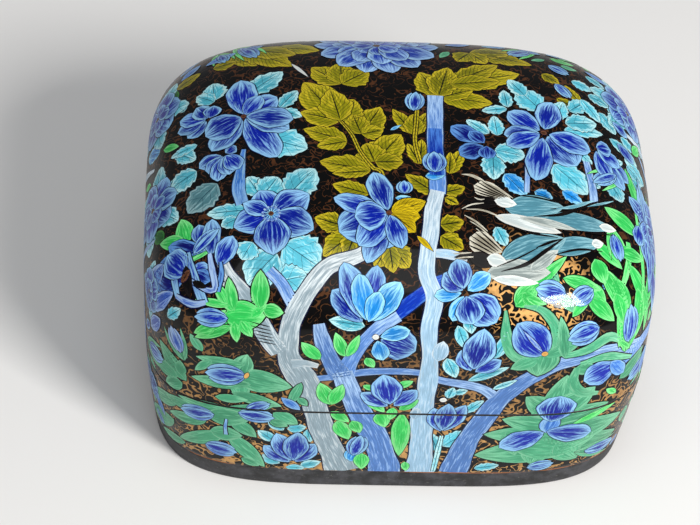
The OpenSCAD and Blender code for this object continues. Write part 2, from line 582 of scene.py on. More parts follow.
def foot_material():
    """Matt, mottled near-black board edge with a thin brown line along its top."""
    material, tree, shader = new_material("mottled_board")
    place = own_place(tree)
    blotch = mottle(tree, place, 300.0, detail=4.0, roughness=0.65)
    grain = mottle(tree, place, 1400.0)
    paint = blended(tree, eased(tree, blotch, 0.35, 0.7), tint(26, 26, 28), tint(72, 72, 76))
    paint = blended(tree, eased(tree, grain, 0.62, 0.75, 0.0, 0.5), paint, tint(110, 108, 104))
    rim = eased(tree, parts_of(tree, place)[2], (FOOT_Z - 0.45) * MM, (FOOT_Z - 0.15) * MM)
    worn = eased(tree, mottle(tree, place, 55.0), 0.5, 0.6)
    paint = blended(tree, product(tree, rim, worn), paint, tint(150, 88, 40))
    dress(tree, shader, paint, eased(tree, blotch, 0.3, 0.7, 0.55, 0.75), grain, 0.6, 0.08)
    return material


def plain_black(name, dark, pale):
    """Brushed black paint, as on the inside and the seam."""
    material, tree, shader = new_material(name)
    inputs = {"Vector": own_place(tree), "Scale": (1.0, 1.0, 5.0)}
    stretched = node(tree, "ShaderNodeMapping", inputs).outputs[0]
    strokes = mottle(tree, stretched, 180.0, detail=4.0, roughness=0.6)
    paint = blended(tree, eased(tree, strokes, 0.35, 0.7), dark, pale)
    dress(tree, shader, paint, eased(tree, strokes, 0.3, 0.7, 0.42, 0.6), strokes, 0.5, 0.06)
    return material


# Painted ornament

class Colours(NamedTuple):
    """The pale edge and the deep heart of one brushed shape."""
    edge: tuple
    heart: tuple


BLUE = Colours(tint(150, 206, 244), tint(4, 34, 152))
DEEP_BLUE = Colours(tint(104, 160, 226), tint(2, 20, 112))
SOFT_BLUE = Colours(tint(138, 186, 230), tint(52, 108, 192))
MAUVE = Colours(tint(170, 202, 242), tint(40, 84, 180))
ROSE_BLUE = Colours(tint(164, 208, 248), tint(14, 60, 178))
SKY = Colours(tint(160, 226, 248), tint(34, 132, 212))
TURQUOISE = Colours(tint(196, 242, 244), tint(84, 184, 206))
GREY_LEAF = Colours(tint(150, 186, 190), tint(90, 140, 150))
OLIVE = Colours(tint(210, 188, 44), tint(134, 130, 16))
YELLOW = Colours(tint(232, 200, 30), tint(170, 146, 14))
GREEN = Colours(tint(140, 238, 150), tint(52, 186, 86))
SEA_GREEN = Colours(tint(126, 200, 158), tint(70, 156, 116))
DARK_GREEN = Colours(tint(70, 150, 64), tint(20, 92, 38))
PALE_BARK = Colours(tint(212, 226, 234), tint(148, 184, 210))
BLUE_BARK = Colours(tint(164, 196, 232), tint(88, 132, 202))
DEEP_BARK = Colours(tint(76, 130, 216), tint(14, 54, 170))
WHITE_BARK = Colours(tint(224, 232, 234), tint(158, 180, 192))
INK = Colours(tint(26, 20, 18), tint(8, 6, 6))
BROWN = Colours(tint(110, 72, 50), tint(56, 32, 22))
WHITE = Colours(tint(238, 240, 234), tint(196, 208, 208))
GREY_FEATHER = Colours(tint(206, 214, 208), tint(140, 152, 150))
FEATHER = Colours(tint(156, 206, 216), tint(84, 142, 160))
CREAM = Colours(tint(226, 222, 204), tint(150, 144, 126))
GOLD = Colours(tint(228, 178, 100), tint(206, 150, 76))


class Cut(NamedTuple):
    """A shape's outline: over 1, full moves its widest part to the tip, and a low point is blunt."""
    full: float
    point: float
    ruffle: float = 0.0
    teeth: int = 0
    bend: float = 0.0
    breadth: float = 1.0


PETAL = Cut(1.18, 0.56, ruffle=0.07, breadth=1.2)
LILY_PETAL = Cut(1.05, 0.74, ruffle=0.05, breadth=1.15)
STAR_PETAL = Cut(1.0, 0.74, ruffle=0.05, breadth=1.15)
SLIM_PETAL = Cut(1.1, 0.8)
BUD = Cut(0.95, 0.58)
TOOTHED = Cut(0.9, 0.66, teeth=5, breadth=1.25)
SMOOTH_LEAF = Cut(0.85, 0.75)
BROAD_LEAF = Cut(0.85, 0.76, teeth=4, breadth=1.4)
LANCE = Cut(0.8, 0.95)
CREST = Cut(1.7, 0.5)
DOT = Cut(1.0, 0.5)

# A petal narrower than this has a finer pale edge too, at most so many times finer.
SMALL_PETAL = 6.2
FINEST_EDGE = 1.7

# How far each layer of paint stands off the ground, and how much one shape stands off the last:
# a separate one, one that runs together with the last, and a fine line.
LEAF_LIFT = 0.02
BARK_LIFT = 0.04
GREEN_LIFT = 0.078
PETAL_LIFT = 0.114
DETAIL_LIFT = 0.175
LIFT_STEP = 0.008
RUN_STEP = 0.003
LINE_STEP = 0.004
# How far paint stands over the dark rim under it, and the width of that rim.
OVER_RIM = 0.012
RIM = 0.3
# The depth that paint without an outline counts from, and the size of a sheet's cells.
MERGED_DEPTH = 0.6
CELL = 1.0
# How fast a petal's edge ruffles, in radians over its length, the depth of its teeth as a share, and
# the least half width of a sheet.
RUFFLES = 17
TOOTH_DEPTH = 0.26
THINNEST = 0.05
# How fast a branch's knots come and go, in radians a millimetre, and the points between its places.
KNOT_TURNS = (0.55, 0.21)
WAY_PIECES = 24
# How much lighter or darker than its colours a sheet's edge and heart may be.
EDGE_SHADES = (0.9, 1.08)
HEART_SHADES = (0.8, 1.15)


class Art:
    """One kind of painted shape: its mesh, its usual lift and outline, and what its material reads."""

    def __init__(self, name, lift, cut):
        self.name = name
        self.lift = lift
        self.cut = cut
        self.bm = bmesh.new()
        layers = self.bm.verts.layers
        self.stroke = layers.float_vector.new("stroke")
        self.share = layers.float_vector.new("share")
        self.edge = layers.float_color.new("edge_paint")
        self.heart = layers.float_color.new("heart_paint")
        self.sheet_no = self.bm.faces.layers.int.new("sheet_no")
        self.sheets = 0

    def usual(self, lift, cut):
        """The lift and outline that a call asks for, or else this art's own."""
        return self.lift if lift is None else lift, cut or self.cut


class Kit:
    """The kinds of painted shape that one area of the box is made of."""

    def __init__(self, area):
        self.petals = Art(f"petals_{area}", PETAL_LIFT, PETAL)
        self.leaves = Art(f"leaves_{area}", LEAF_LIFT, TOOTHED)
        self.olive = Art(f"olive_leaves_{area}", LEAF_LIFT, BROAD_LEAF)
        self.greens = Art(f"greens_{area}", GREEN_LIFT, SMOOTH_LEAF)
        self.bark = Art(f"bark_{area}", BARK_LIFT, LANCE)
        self.ink = Art(f"fine_lines_{area}", DETAIL_LIFT, SMOOTH_LEAF)


def varied(paint, share):
    """A paint made darker or lighter by a share."""
    return tuple(c * share for c in paint[:3]) + (1.0,)


def lay_sheet(art, rows, columns, draw, colours, lift, merged=False):
    """A sheet of paint: draw gives its points' places and strokes. Merged, it has no outline."""
    made = bmesh.ops.create_grid(art.bm, x_segments=rows, y_segments=columns, size=1.0)["verts"]
    raw = np.array([v.co for v in made])
    along, across = (raw[:, 0] + 1) / 2, raw[:, 1]
    places, strokes = draw(along, across)
    places = press(places, lift)
    strokes[:, 2] += MERGED_DEPTH * merged
    seed = random.random()
    edge = varied(colours.edge, random.uniform(*EDGE_SHADES))
    heart = varied(colours.heart, random.uniform(*HEART_SHADES))
    for v, place, stroke, t, s in zip(made, places, strokes, along, across):
        v.co = place
        v[art.stroke] = stroke
        v[art.share] = (t, (s + 1) / 2, seed)
        v[art.edge] = edge
        v[art.heart] = heart
    for face in {f for v in made for f in v.link_faces}:
        face[art.sheet_no] = art.sheets
    art.sheets += 1


def unit(v):
    """A direction, one long."""
    return v / np.linalg.norm(v)


def heading(base, tip):
    """The length from one place to another, its direction, and the direction beside it."""
    length = np.linalg.norm(tip - base)
    away = (tip - base) / length
    beside = unit(np.cross(form_slope(press((base + tip) / 2, 0.0)), away))
    return length, away, beside


def petal(art, base, tip, width, colours, lift, cut=PETAL, start=0.0, merged=False):
    """A petal or leaf from one place on the surface to another."""
    length, away, beside = heading(base, tip)
    finer = min(FINEST_EDGE, max(1.0, SMALL_PETAL / width))

    def draw(t, s):
        # Waves and teeth shift with the length, so that no two shapes are quite alike.
        half = width * cut.breadth / 2 * np.clip(np.sin(math.pi * t ** cut.full), 0, 1) ** cut.point
        half = half * (1 + cut.ruffle * np.sin(t * RUFFLES + np.sign(s) * 1.3 + length) * t)
        if cut.teeth:
            tooth = (t * cut.teeth + 0.3 * np.sin(7 * t + length)) % 1 - 0.5
            half = half * (1 + TOOTH_DEPTH * tooth)
        half = np.maximum(half, THINNEST)
        x = length * (start + (1 - start) * t)
        y = s * half + cut.bend * length * t * (1 - t)
        places = base + x[:, None] * away + y[:, None] * beside
        return places, np.stack([x, s * width / 2, (1 - np.abs(s)) * half * finer], 1)

    rows = max(6, round(length / CELL), cut.teeth * 3)
    columns = 2 * max(2, round(width / CELL / 2))
    lay_sheet(art, rows, columns, draw, colours, lift, merged)


def ends_of(side, row):
    """The base and the tip of a row that gives both, across and up one side, with its width."""
    x0, y0, x1, y1, width = row
    return spot(side, x0, y0).point, spot(side, x1, y1).point, width


def clump(art, side, colours, rows, lift=None, cut=None):
    """Leaves that run together into one shape: a dark rim under them all, then their paint."""
    lift, cut = art.usual(lift, cut)
    ends = [ends_of(side, row) for row in rows]
    for base, tip, width in ends:
        reach = unit(tip - base) * RIM
        petal(art, base - reach, tip + reach * 1.5, width + 2 * RIM, INK, lift, cut)
    for i, (base, tip, width) in enumerate(ends):
        petal(art, base, tip, width, colours, lift + OVER_RIM + i % 4 * RUN_STEP, cut, merged=True)


def fan(x, y, *tips):
    """Rows for leaves that leave one place, each given by its tip and its width."""
    return [(x, y) + tip for tip in tips]


def lay(art, side, colours, rows, lift=None, cut=None):
    """Petals or leaves, each a row of its base and tip, across and up on one side, and its width."""
    lift, cut = art.usual(lift, cut)
    for i, row in enumerate(rows):
        petal(art, *ends_of(side, row), colours, lift + i % 4 * LIFT_STEP, cut)


def spread(art, side, x, y, colours, tips, lift=None, cut=None, start=0.1):
    """Petals or leaves that leave one place, each given by its tip and its width."""
    lift, cut = art.usual(lift, cut)
    middle = spot(side, x, y).point
    for i, (tip_x, tip_y, width) in enumerate(tips):
        tip = spot(side, tip_x, tip_y).point
        petal(art, middle, tip, width, colours, lift + i * LIFT_STEP, cut, start)


def dot(art, side, x, y, size, colours, lift=DETAIL_LIFT):
    """A round dot."""
    at = spot(side, x, y)
    reach = at.right * size / 2
    petal(art, at.point - reach, at.point + reach, size, colours, lift, DOT)


def stamens(kit, side, x, y, radius, count):
    """A ring of fine lines with dots at their ends round a brown middle."""
    at = spot(side, x, y)
    for i in range(count):
        turn = 2 * math.pi * i / count
        way = at.right * math.cos(turn) + at.up * math.sin(turn)
        petal(kit.ink, at.point, at.point + way * radius, 0.3, SKY, DETAIL_LIFT, LANCE)
        end = at.point + way * radius
        petal(kit.ink, end - way * 0.35, end + way * 0.35, 0.7, MAUVE, DETAIL_LIFT + 0.01, DOT)
    dot(kit.ink, side, x, y, 1.4, BROWN, DETAIL_LIFT + 0.015)


def along(side, *places):
    """A way over one side, as places that branch takes."""
    return [spot(side, x, y).point for x, y in places]


def smooth_way(points, spacing):
    """Evenly spaced points on a smooth line through the given ones, with its length."""
    p = np.array([points[0] * 2 - points[1]] + list(points) + [points[-1] * 2 - points[-2]])
    dense = []
    for i in range(1, len(p) - 2):
        for t in np.linspace(0, 1, WAY_PIECES, endpoint=False):
            a = 2 * p[i]
            b = p[i + 1] - p[i - 1]
            c = 2 * p[i - 1] - 5 * p[i] + 4 * p[i + 1] - p[i + 2]
            d = -p[i - 1] + 3 * p[i] - 3 * p[i + 1] + p[i + 2]
            dense.append((a + b * t + c * t * t + d * t * t * t) / 2)
    dense = press(np.array(dense + [p[-2]]), 0.0)
    run = np.concatenate([[0], np.cumsum(np.linalg.norm(np.diff(dense, axis=0), axis=1))])
    count = max(3, round(run[-1] / spacing))
    marks = np.linspace(0, run[-1], count + 1)
    return np.stack([np.interp(marks, run, dense[:, i]) for i in range(3)], 1), run[-1]


def branch(art, way, widths, colours, lift=BARK_LIFT, knots=0.0, merged=False):
    """A branch or brush line along a way; its widths are spaced evenly from start to end."""
    line, length = smooth_way(way, CELL)
    onward = np.gradient(line, axis=0)
    beside = np.cross(form_slope(line), onward)
    beside /= np.linalg.norm(beside, axis=1, keepdims=True)

    def draw(t, s):
        row = np.round(t * (len(line) - 1)).astype(int)
        half = np.interp(t, np.linspace(0, 1, len(widths)), widths) / 2
        run = t * length
        half = half * (1 + knots * np.sin(run * KNOT_TURNS[0]) * np.sin(run * KNOT_TURNS[1] + 1))
        places = line[row] + beside[row] * (s * half)[:, None]
        return places, np.stack([run, s * half, (1 - np.abs(s)) * half], 1)

    columns = 2 * max(2, round(max(widths) / CELL / 2))
    lay_sheet(art, len(line) - 1, columns, draw, colours, lift, merged)


def grow(art, rows, lift=BARK_LIFT, knots=0.05):
    """Trunks or branches that run together: a dark rim under them all, then their paint."""
    for way, widths, _, _ in rows:
        branch(art, way, [w + 2 * RIM for w in widths], INK, lift, knots)
    for way, widths, colours, layer in rows:
        branch(art, way, widths, colours, lift + OVER_RIM * layer, knots, merged=True)


def pack_bake_map(art):
    """Gives every sheet its own cell of the map that the bake uses."""
    count = max(1, art.sheets)
    columns = max(1, math.ceil(math.sqrt(count)))
    rows = math.ceil(count / columns)
    uv = art.bm.loops.layers.uv.new("OFBake")
    margin = 0.06
    for face in art.bm.faces:
        row, column = divmod(face[art.sheet_no], columns)
        for loop in face.loops:
            t, s, _ = loop.vert[art.share]
            u = (column + margin + (1 - 2 * margin) * t) / columns
            v = (row + margin + (1 - 2 * margin) * s) / rows
            loop[uv].uv = (u, v)


def cut_at(bm, z, keep_above):
    """Cuts a mesh at a height and keeps what lies on one side of it."""
    geom = list(bm.verts) + list(bm.edges) + list(bm.faces)
    sides = {"clear_inner": keep_above, "clear_outer": not keep_above}
    bmesh.ops.bisect_plane(bm, geom=geom, plane_co=(0, 0, z), plane_no=(0, 0, 1), **sides)


FOOT_GAP = 0.15


def finish_art(art, material):
    """Cuts one kind of ornament at the seam and the foot, and gives each body its part."""
    pack_bake_map(art)
    lower = art.bm.copy()
    cut_at(art.bm, SEAM_Z + SEAM_EASE, keep_above=True)
    cut_at(lower, SEAM_Z - SEAM_EASE, keep_above=False)
    cut_at(lower, FOOT_Z + FOOT_GAP, keep_above=True)
    for bm, body, slot in ((art.bm, "lid", "lid_lacquer"), (lower, "base", "base_lacquer")):
        if bm.faces:
            finish_piece(bm, f"{body}_{art.name}", body, [material])
        else:
            bm.free()


# Motifs

def rosette(art, side, x, y, radius, count, turn, width, colours, lift, cut=PETAL, start=0.1):
    """A ring of like petals round one place."""
    at = spot(side, x, y)
    for i in range(count):
        angle = math.radians(turn + 360 * i / count)
        tip = press(at.point + radius * (at.right * math.cos(angle) + at.up * math.sin(angle)), 0.0)
        petal(art, at.point, tip, width, colours, lift + i % 5 * LIFT_STEP, cut, start)


def closed_bud(kit, side, row, colours):
    """A closed bud: two outer petals that fold round a middle one."""
    base, tip, width = ends_of(side, row)
    length, away, beside = heading(base, tip)
    for i, hand in enumerate((-1, 1)):
        reach = base + away * length * 0.92 + beside * hand * width * 0.2
        cut = BUD._replace(bend=hand * 0.2)
        petal(kit.petals, base, reach, width * 0.6, colours, PETAL_LIFT + i * LIFT_STEP, cut)
    petal(kit.petals, base, tip, width * 0.58, colours, PETAL_LIFT + 3 * LIFT_STEP, BUD)


def bud(kit, side, row, colours, green, sepals=True):
    """A bud held by its calyx; sepals adds a slim one on each side of it."""
    base, tip, width = ends_of(side, row)
    length, away, beside = heading(base, tip)
    foot = base - away * length * 0.3
    petal(kit.greens, foot, base + away * length * 0.5, width * 0.85, green, GREEN_LIFT, SMOOTH_LEAF)
    for hand in (1, -1) if sepals else ():
        reach = base + away * length * 0.95 + beside * hand * width * 0.62
        cut = SMOOTH_LEAF._replace(bend=hand * 0.28)
        petal(kit.greens, foot, reach, width * 0.34, green, GREEN_LIFT + OVER_RIM, cut)
    closed_bud(kit, side, row, colours)


def full_flower(kit, side, x, y, radius, count, turn, colours, leaf):
    """An open flower over a ring of its leaves, with a small ring of petals in its middle."""
    width = 2 * math.pi * radius * 0.62 / count
    at = (side, x, y)
    rosette(kit.leaves, *at, radius * 1.4, count - 1, turn + 22, radius * 0.5, leaf, LEAF_LIFT, TOOTHED, 0.3)
    rosette(kit.petals, *at, radius, count, turn, width * 1.15, colours, PETAL_LIFT)
    rosette(kit.petals, *at, radius * 0.55, 5, turn + 30, width * 0.7, colours, PETAL_LIFT + 0.045)
    dot(kit.petals, side, x, y, 1.5, BROWN)


random.seed(7)


# Ornament of the dome, in millimetres to the right of its middle and towards the back

def paint_dome_left(kit):
    """Two big flowers, a small rose and an iris, with their leaves."""
    lay(kit.leaves, "top", TURQUOISE, [
        (-46.5, 16.5, -47, 23.5, 6), (-46.5, 16, -51, 20, 4), (-38.3, 16.5, -29.5, 24.5, 5.5),
        (-30.5, 10.5, -26, 16.5, 3.5), (-30, 9.5, -25, 6.8, 3), (-34, 0, -23.7, -4.5, 8),
        (-50.5, 2, -57, 1.5, 2.8), (-50.5, -7, -57, -10, 6), (-54, 16, -55, 20, 2.5),
        (-35.3, -18.8, -38.3, -12.5, 5), (-34.5, -19, -31, -13.5, 6.5), (-28.7, -19.7, -22, -11.3, 7),
        (-38, -23, -48, -22, 3.8), (-40.5, -25, -44.5, -26.5, 3.2), (-31.2, -35.2, -38, -41.5, 8),
        (-37, -32, -39.5, -36, 5), (-29.5, -33, -21, -39, 9), (-31, -41.5, -24, -40.5, 6),
    ])
    lay(kit.leaves, "top", GREY_LEAF, [(-45.5, -13, -52.5, -20, 7)])
    lay(kit.greens, "top", DARK_GREEN, [
        (-56.8, -17.5, -60, -15.5, 4), (-58, -24, -60.8, -20, 4), (-56, 22, -57, 28, 3),
    ], LEAF_LIFT)
    clump(kit.greens, "top", GREEN, [(-52.4, -28.6, -54, -21, 5), (-53, -28, -59, -24.5, 4)])
    lay(kit.olive, "top", OLIVE, [
        (-42, 36, -36, 28, 4.6), (-40, 36.6, -27, 26.6, 6), (-38, 37, -26, 32.4, 6),
        (-56, 27, -50, 30, 3.4), (-31, 37.6, -20, 34.4, 5.4), (-47, 30.4, -41, 31.6, 3.6),
    ])
    lay(kit.petals, "top", SOFT_BLUE, [
        (-49, 33, -41, 37, 4), (-41, 38, -34, 40, 4), (-55, 30, -50, 35, 3.5),
    ], cut=SLIM_PETAL)
    lay(kit.bark, "top", WHITE, [(-27.5, 28, -23, 21.5, 1.3)])
    spread(kit.petals, "top", -39.3, 8.5, BLUE, [
        (-40, 22.5, 7), (-31, 14.5, 6.6), (-35, 15.5, 4.5), (-31, -7, 7), (-28, 2.5, 5.5), (-27, 6, 6.4),
        (-47, -1.8, 6.6), (-48.6, 4, 8),
    ], start=0.05)
    dot(kit.petals, "top", -39.3, 8.5, 1.6, BROWN)
    spread(kit.petals, "top", -47.7, 9.8, BLUE, [
        (-53, 5.5, 4.5), (-55.5, 9, 4.5), (-55, 13, 4.5), (-51, 15.5, 4.5), (-46.5, 14.5, 4.5),
    ])
    spread(kit.petals, "top", -44, -3.5, BLUE, [
        (-41, -1.5, 3.2), (-50, -6.5, 4.5), (-47.5, -9.5, 4.5), (-45.5, -12.5, 4.5), (-42.5, -11, 4.5),
        (-40, -9.5, 4.5),
    ])
    spread(kit.petals, "top", -32.6, -24.8, BLUE, [
        (-41.6, -27.4, 7), (-35.6, -17.4, 7), (-23.4, -19.4, 8), (-22.4, -29.8, 8), (-32, -35.8, 8),
        (-39.4, -20.8, 4.4),
    ], cut=STAR_PETAL, start=0.04)
    dot(kit.petals, "top", -32.6, -24.8, 4.6, DEEP_BLUE, DETAIL_LIFT - 0.02)
    stamens(kit, "top", -32.6, -24.8, 2, 13)
    branch(kit.bark, along("top", (-39.2, -3), (-40, -10), (-40.4, -16), (-39.5, -21)),
           (1.4, 2.6, 3.6, 3.4), SOFT_BLUE)
    branch(kit.bark, along("top", (-33, -39), (-30, -42), (-27, -46)), (3, 3.4), BLUE_BARK)
    branch(kit.bark, along("top", (-44.5, -38), (-41.5, -42), (-38, -45.5)), (2.6, 3.4, 3.6), WHITE_BARK)
    lay(kit.greens, "top", GREEN, [(-35, -46, -35.5, -41.2, 4)])
    paint_iris(kit)


def paint_iris(kit):
    """The iris at the left shoulder, with its upright petals and its ribbons."""
    lay(kit.petals, "top", DEEP_BLUE, [
        (-53, -37, -59.8, -30.5, 9), (-48.5, -32, -57, -27, 4), (-50.8, -36, -46.6, -39.2, 3.4),
    ], PETAL_LIFT - 0.005)
    lay(kit.petals, "top", BLUE, [
        (-49.3, -30, -49.8, -24.4, 3.8), (-46.6, -33.6, -46.6, -23.8, 4.2),
        (-44.9, -36.6, -41.6, -29.6, 4.8), (-52.6, -36, -57.2, -29, 7), (-51.5, -36.2, -47.2, -35.6, 3),
    ])
    lay(kit.petals, "front", MAUVE, [
        (-57.8, 61, -61.2, 49.5, 6), (-55.4, 59, -60.2, 50, 3.6), (-58.5, 50, -60.8, 43, 3.6),
    ], PETAL_LIFT - 0.005)
    branch(kit.petals, along("front", (-53.2, 64.6), (-55.3, 61.6), (-54.4, 59)),
           (1.6, 2.6, 2), BLUE, PETAL_LIFT + 0.01)
    branch(kit.petals, along("front", (-52.2, 65.6), (-49.6, 62.6), (-48.2, 60.6)),
           (1.6, 2.6, 3), BLUE, PETAL_LIFT + 0.02)
    branch(kit.petals, along("front", (-54.8, 58.8), (-51, 59.4), (-47.8, 61)),
           (1.6, 2.4, 1.6), MAUVE, PETAL_LIFT + 0.03)
    branch(kit.petals, along("top", (-51.6, -37.4), (-48, -40.4), (-45.6, -40.8), (-46.6, -36), (-47, -33)),
           (1.4, 1.6, 2, 2, 1.4), MAUVE, PETAL_LIFT + 0.03)
    branch(kit.petals, along("top", (-44.4, -35.6), (-44.2, -38.6), (-45, -41.6)),
           (1.2, 1.8, 1.6), DEEP_BLUE, PETAL_LIFT + 0.02)
    lay(kit.ink, "front", INK, [(-52.6, 64.2, -51.6, 60.4, 2.8)], cut=BUD)
    lay(kit.ink, "top", INK, [(-51, -38, -47.6, -40.2, 1.7)], cut=BUD)
    lay(kit.petals, "top", BROWN, [(-53.6, -37.2, -51.6, -35.2, 2)], DETAIL_LIFT, BUD)


def paint_dome_middle(kit):
    """The rosette at the back, the olive leaves, the buds and the flower beside the trunk."""
    for radius, count, width, turn, lift in (
        (16, 14, 7, 0, 0.0), (11.5, 11, 6, 14, 0.022), (6.6, 8, 4.6, 5, 0.044),
    ):
        rosette(kit.petals, "top", -5.5, 38, radius, count, turn, width, ROSE_BLUE, PETAL_LIFT + lift)
    dot(kit.petals, "top", -5.5, 38, 2, BROWN, DETAIL_LIFT + 0.02)
    for rows in (
        fan(-15, 18.8, (-22.5, 26, 5.5), (-15, 28, 6), (-8, 24.5, 5.5)),
        fan(-15.5, 5, (-24.5, 19.8, 8), (-12, 13, 6), (-25.5, 8.5, 5), (-18, 17, 6)),
        fan(-10.5, 0.5, (-5.5, 10.4, 5.5), (-12.6, 7.5, 5), (-5, 2.2, 4)),
        fan(-14, -2, (-24.8, 2.5, 4.6), (-21.5, -3.8, 3.6)),
        fan(-7.5, -9, (-0.8, 0.8, 6.5), (-9.5, -2.6, 5.5), (-0.5, -8.8, 4.5)),
        fan(-8.5, -12, (-21, -8.8, 5.4), (-18, -13, 3)),
        fan(-9, -19.5, (-18, -16.4, 4)),
        fan(-14.5, -29, (-22.4, -26.4, 4.4)),
        fan(-12.5, -30.5, (-20.4, -36.4, 5.4), (-15, -37, 4)),
        fan(-4.6, -33.5, (-8, -39, 3.6), (0.2, -38.8, 4.8), (-3.6, -40, 3.4)),
        fan(9, 14.6, (4.6, 24.6, 5.4), (12, 27, 6)),
        fan(12, 19.6, (30.4, 26, 6.4), (25, 29.4, 5), (25, 22, 4.6)),
        fan(9.6, 14.4, (22.6, 13, 5), (18, 18, 4)),
        fan(18, 35, (34, 31, 5), (30, 37, 5), (22, 29.5, 4.6), (14.5, 30, 4.6)),
        fan(36, 27.5, (40.4, 24.3, 3)),
        fan(39, 18, (44.2, 15.3, 2.4)),
        fan(46, 17, (41.6, 24.4, 2.4)),
        fan(8.8, -18.6, (14.2, -16.6, 3)),
        fan(9, -20, (12.4, -22, 2)),
        fan(7.7, -28, (13.5, -26.9, 3.8)),
        fan(7.7, -31, (13.2, -34.2, 3.8)),
        fan(7.6, -19.3, (-0.4, -12.8, 3.4)),
        fan(3.5, -9.5, (4.2, -0.8, 3), (0.6, -2.4, 2.4)),
        fan(10.5, -12.5, (13.8, -4, 3), (11, -5, 2.4)),
        fan(2.5, 0.5, (-2.7, 9.8, 3), (6.2, 8.8, 3), (2.4, 8, 4)),
    ):
        lay(kit.olive, "top", OLIVE, rows)
    branch(kit.olive, along("top", (-17, 7.5), (-13, 0.5), (-11, -5.5), (-8, -11), (-6, -12.5), (-4.5, -22)),
           (1.2, 1.6), OLIVE)
    branch(kit.olive, along("top", (3.5, 10), (3, 4), (2.5, -2), (3.5, -9)), (1.4, 1.4), OLIVE)
    lay(kit.bark, "top", SKY, [(-3.5, 2, -0.5, 4, 1.2)])
    for row in (
        (2.5, 9, 3.5, 16.3, 5.6), (7, -12.2, 7, -5, 7), (-0.6, -19.2, -0.6, -15, 5),
        (38, 32.5, 43.5, 29.5, 4.4), (39, 24, 43, 19, 4),
    ):
        closed_bud(kit, "top", row, BLUE)
    lay(kit.leaves, "top", SKY, [
        (4.5, -13.5, 9.5, -13, 3), (-3, -20.5, 1.5, -20.5, 2),
    ], GREEN_LIFT, SMOOTH_LEAF)
    paint_trunk_flower(kit)


def paint_trunk_flower(kit):
    """The big flower left of the trunk, with a yellow leaf behind its middle."""
    spread(kit.petals, "top", -4.5, -25, BLUE, [
        (-16.5, -30.5, 9.5), (-5, -34.5, 6), (-17.8, -20.7, 5), (-10, -38, 5), (-11.8, -34, 6),
        (-8, -12.5, 5.5), (-12.8, -26.3, 7.5), (-1.5, -34.5, 4.5),
    ], start=0.05)
    behind = fan(-4, -25, (4.4, -21.4, 5.4), (3, -26, 6), (1.8, -30.2, 5.4))
    clump(kit.olive, "top", YELLOW, behind, PETAL_LIFT + 0.02, SMOOTH_LEAF)
    dot(kit.petals, "top", -4.5, -25, 1.6, BROWN)


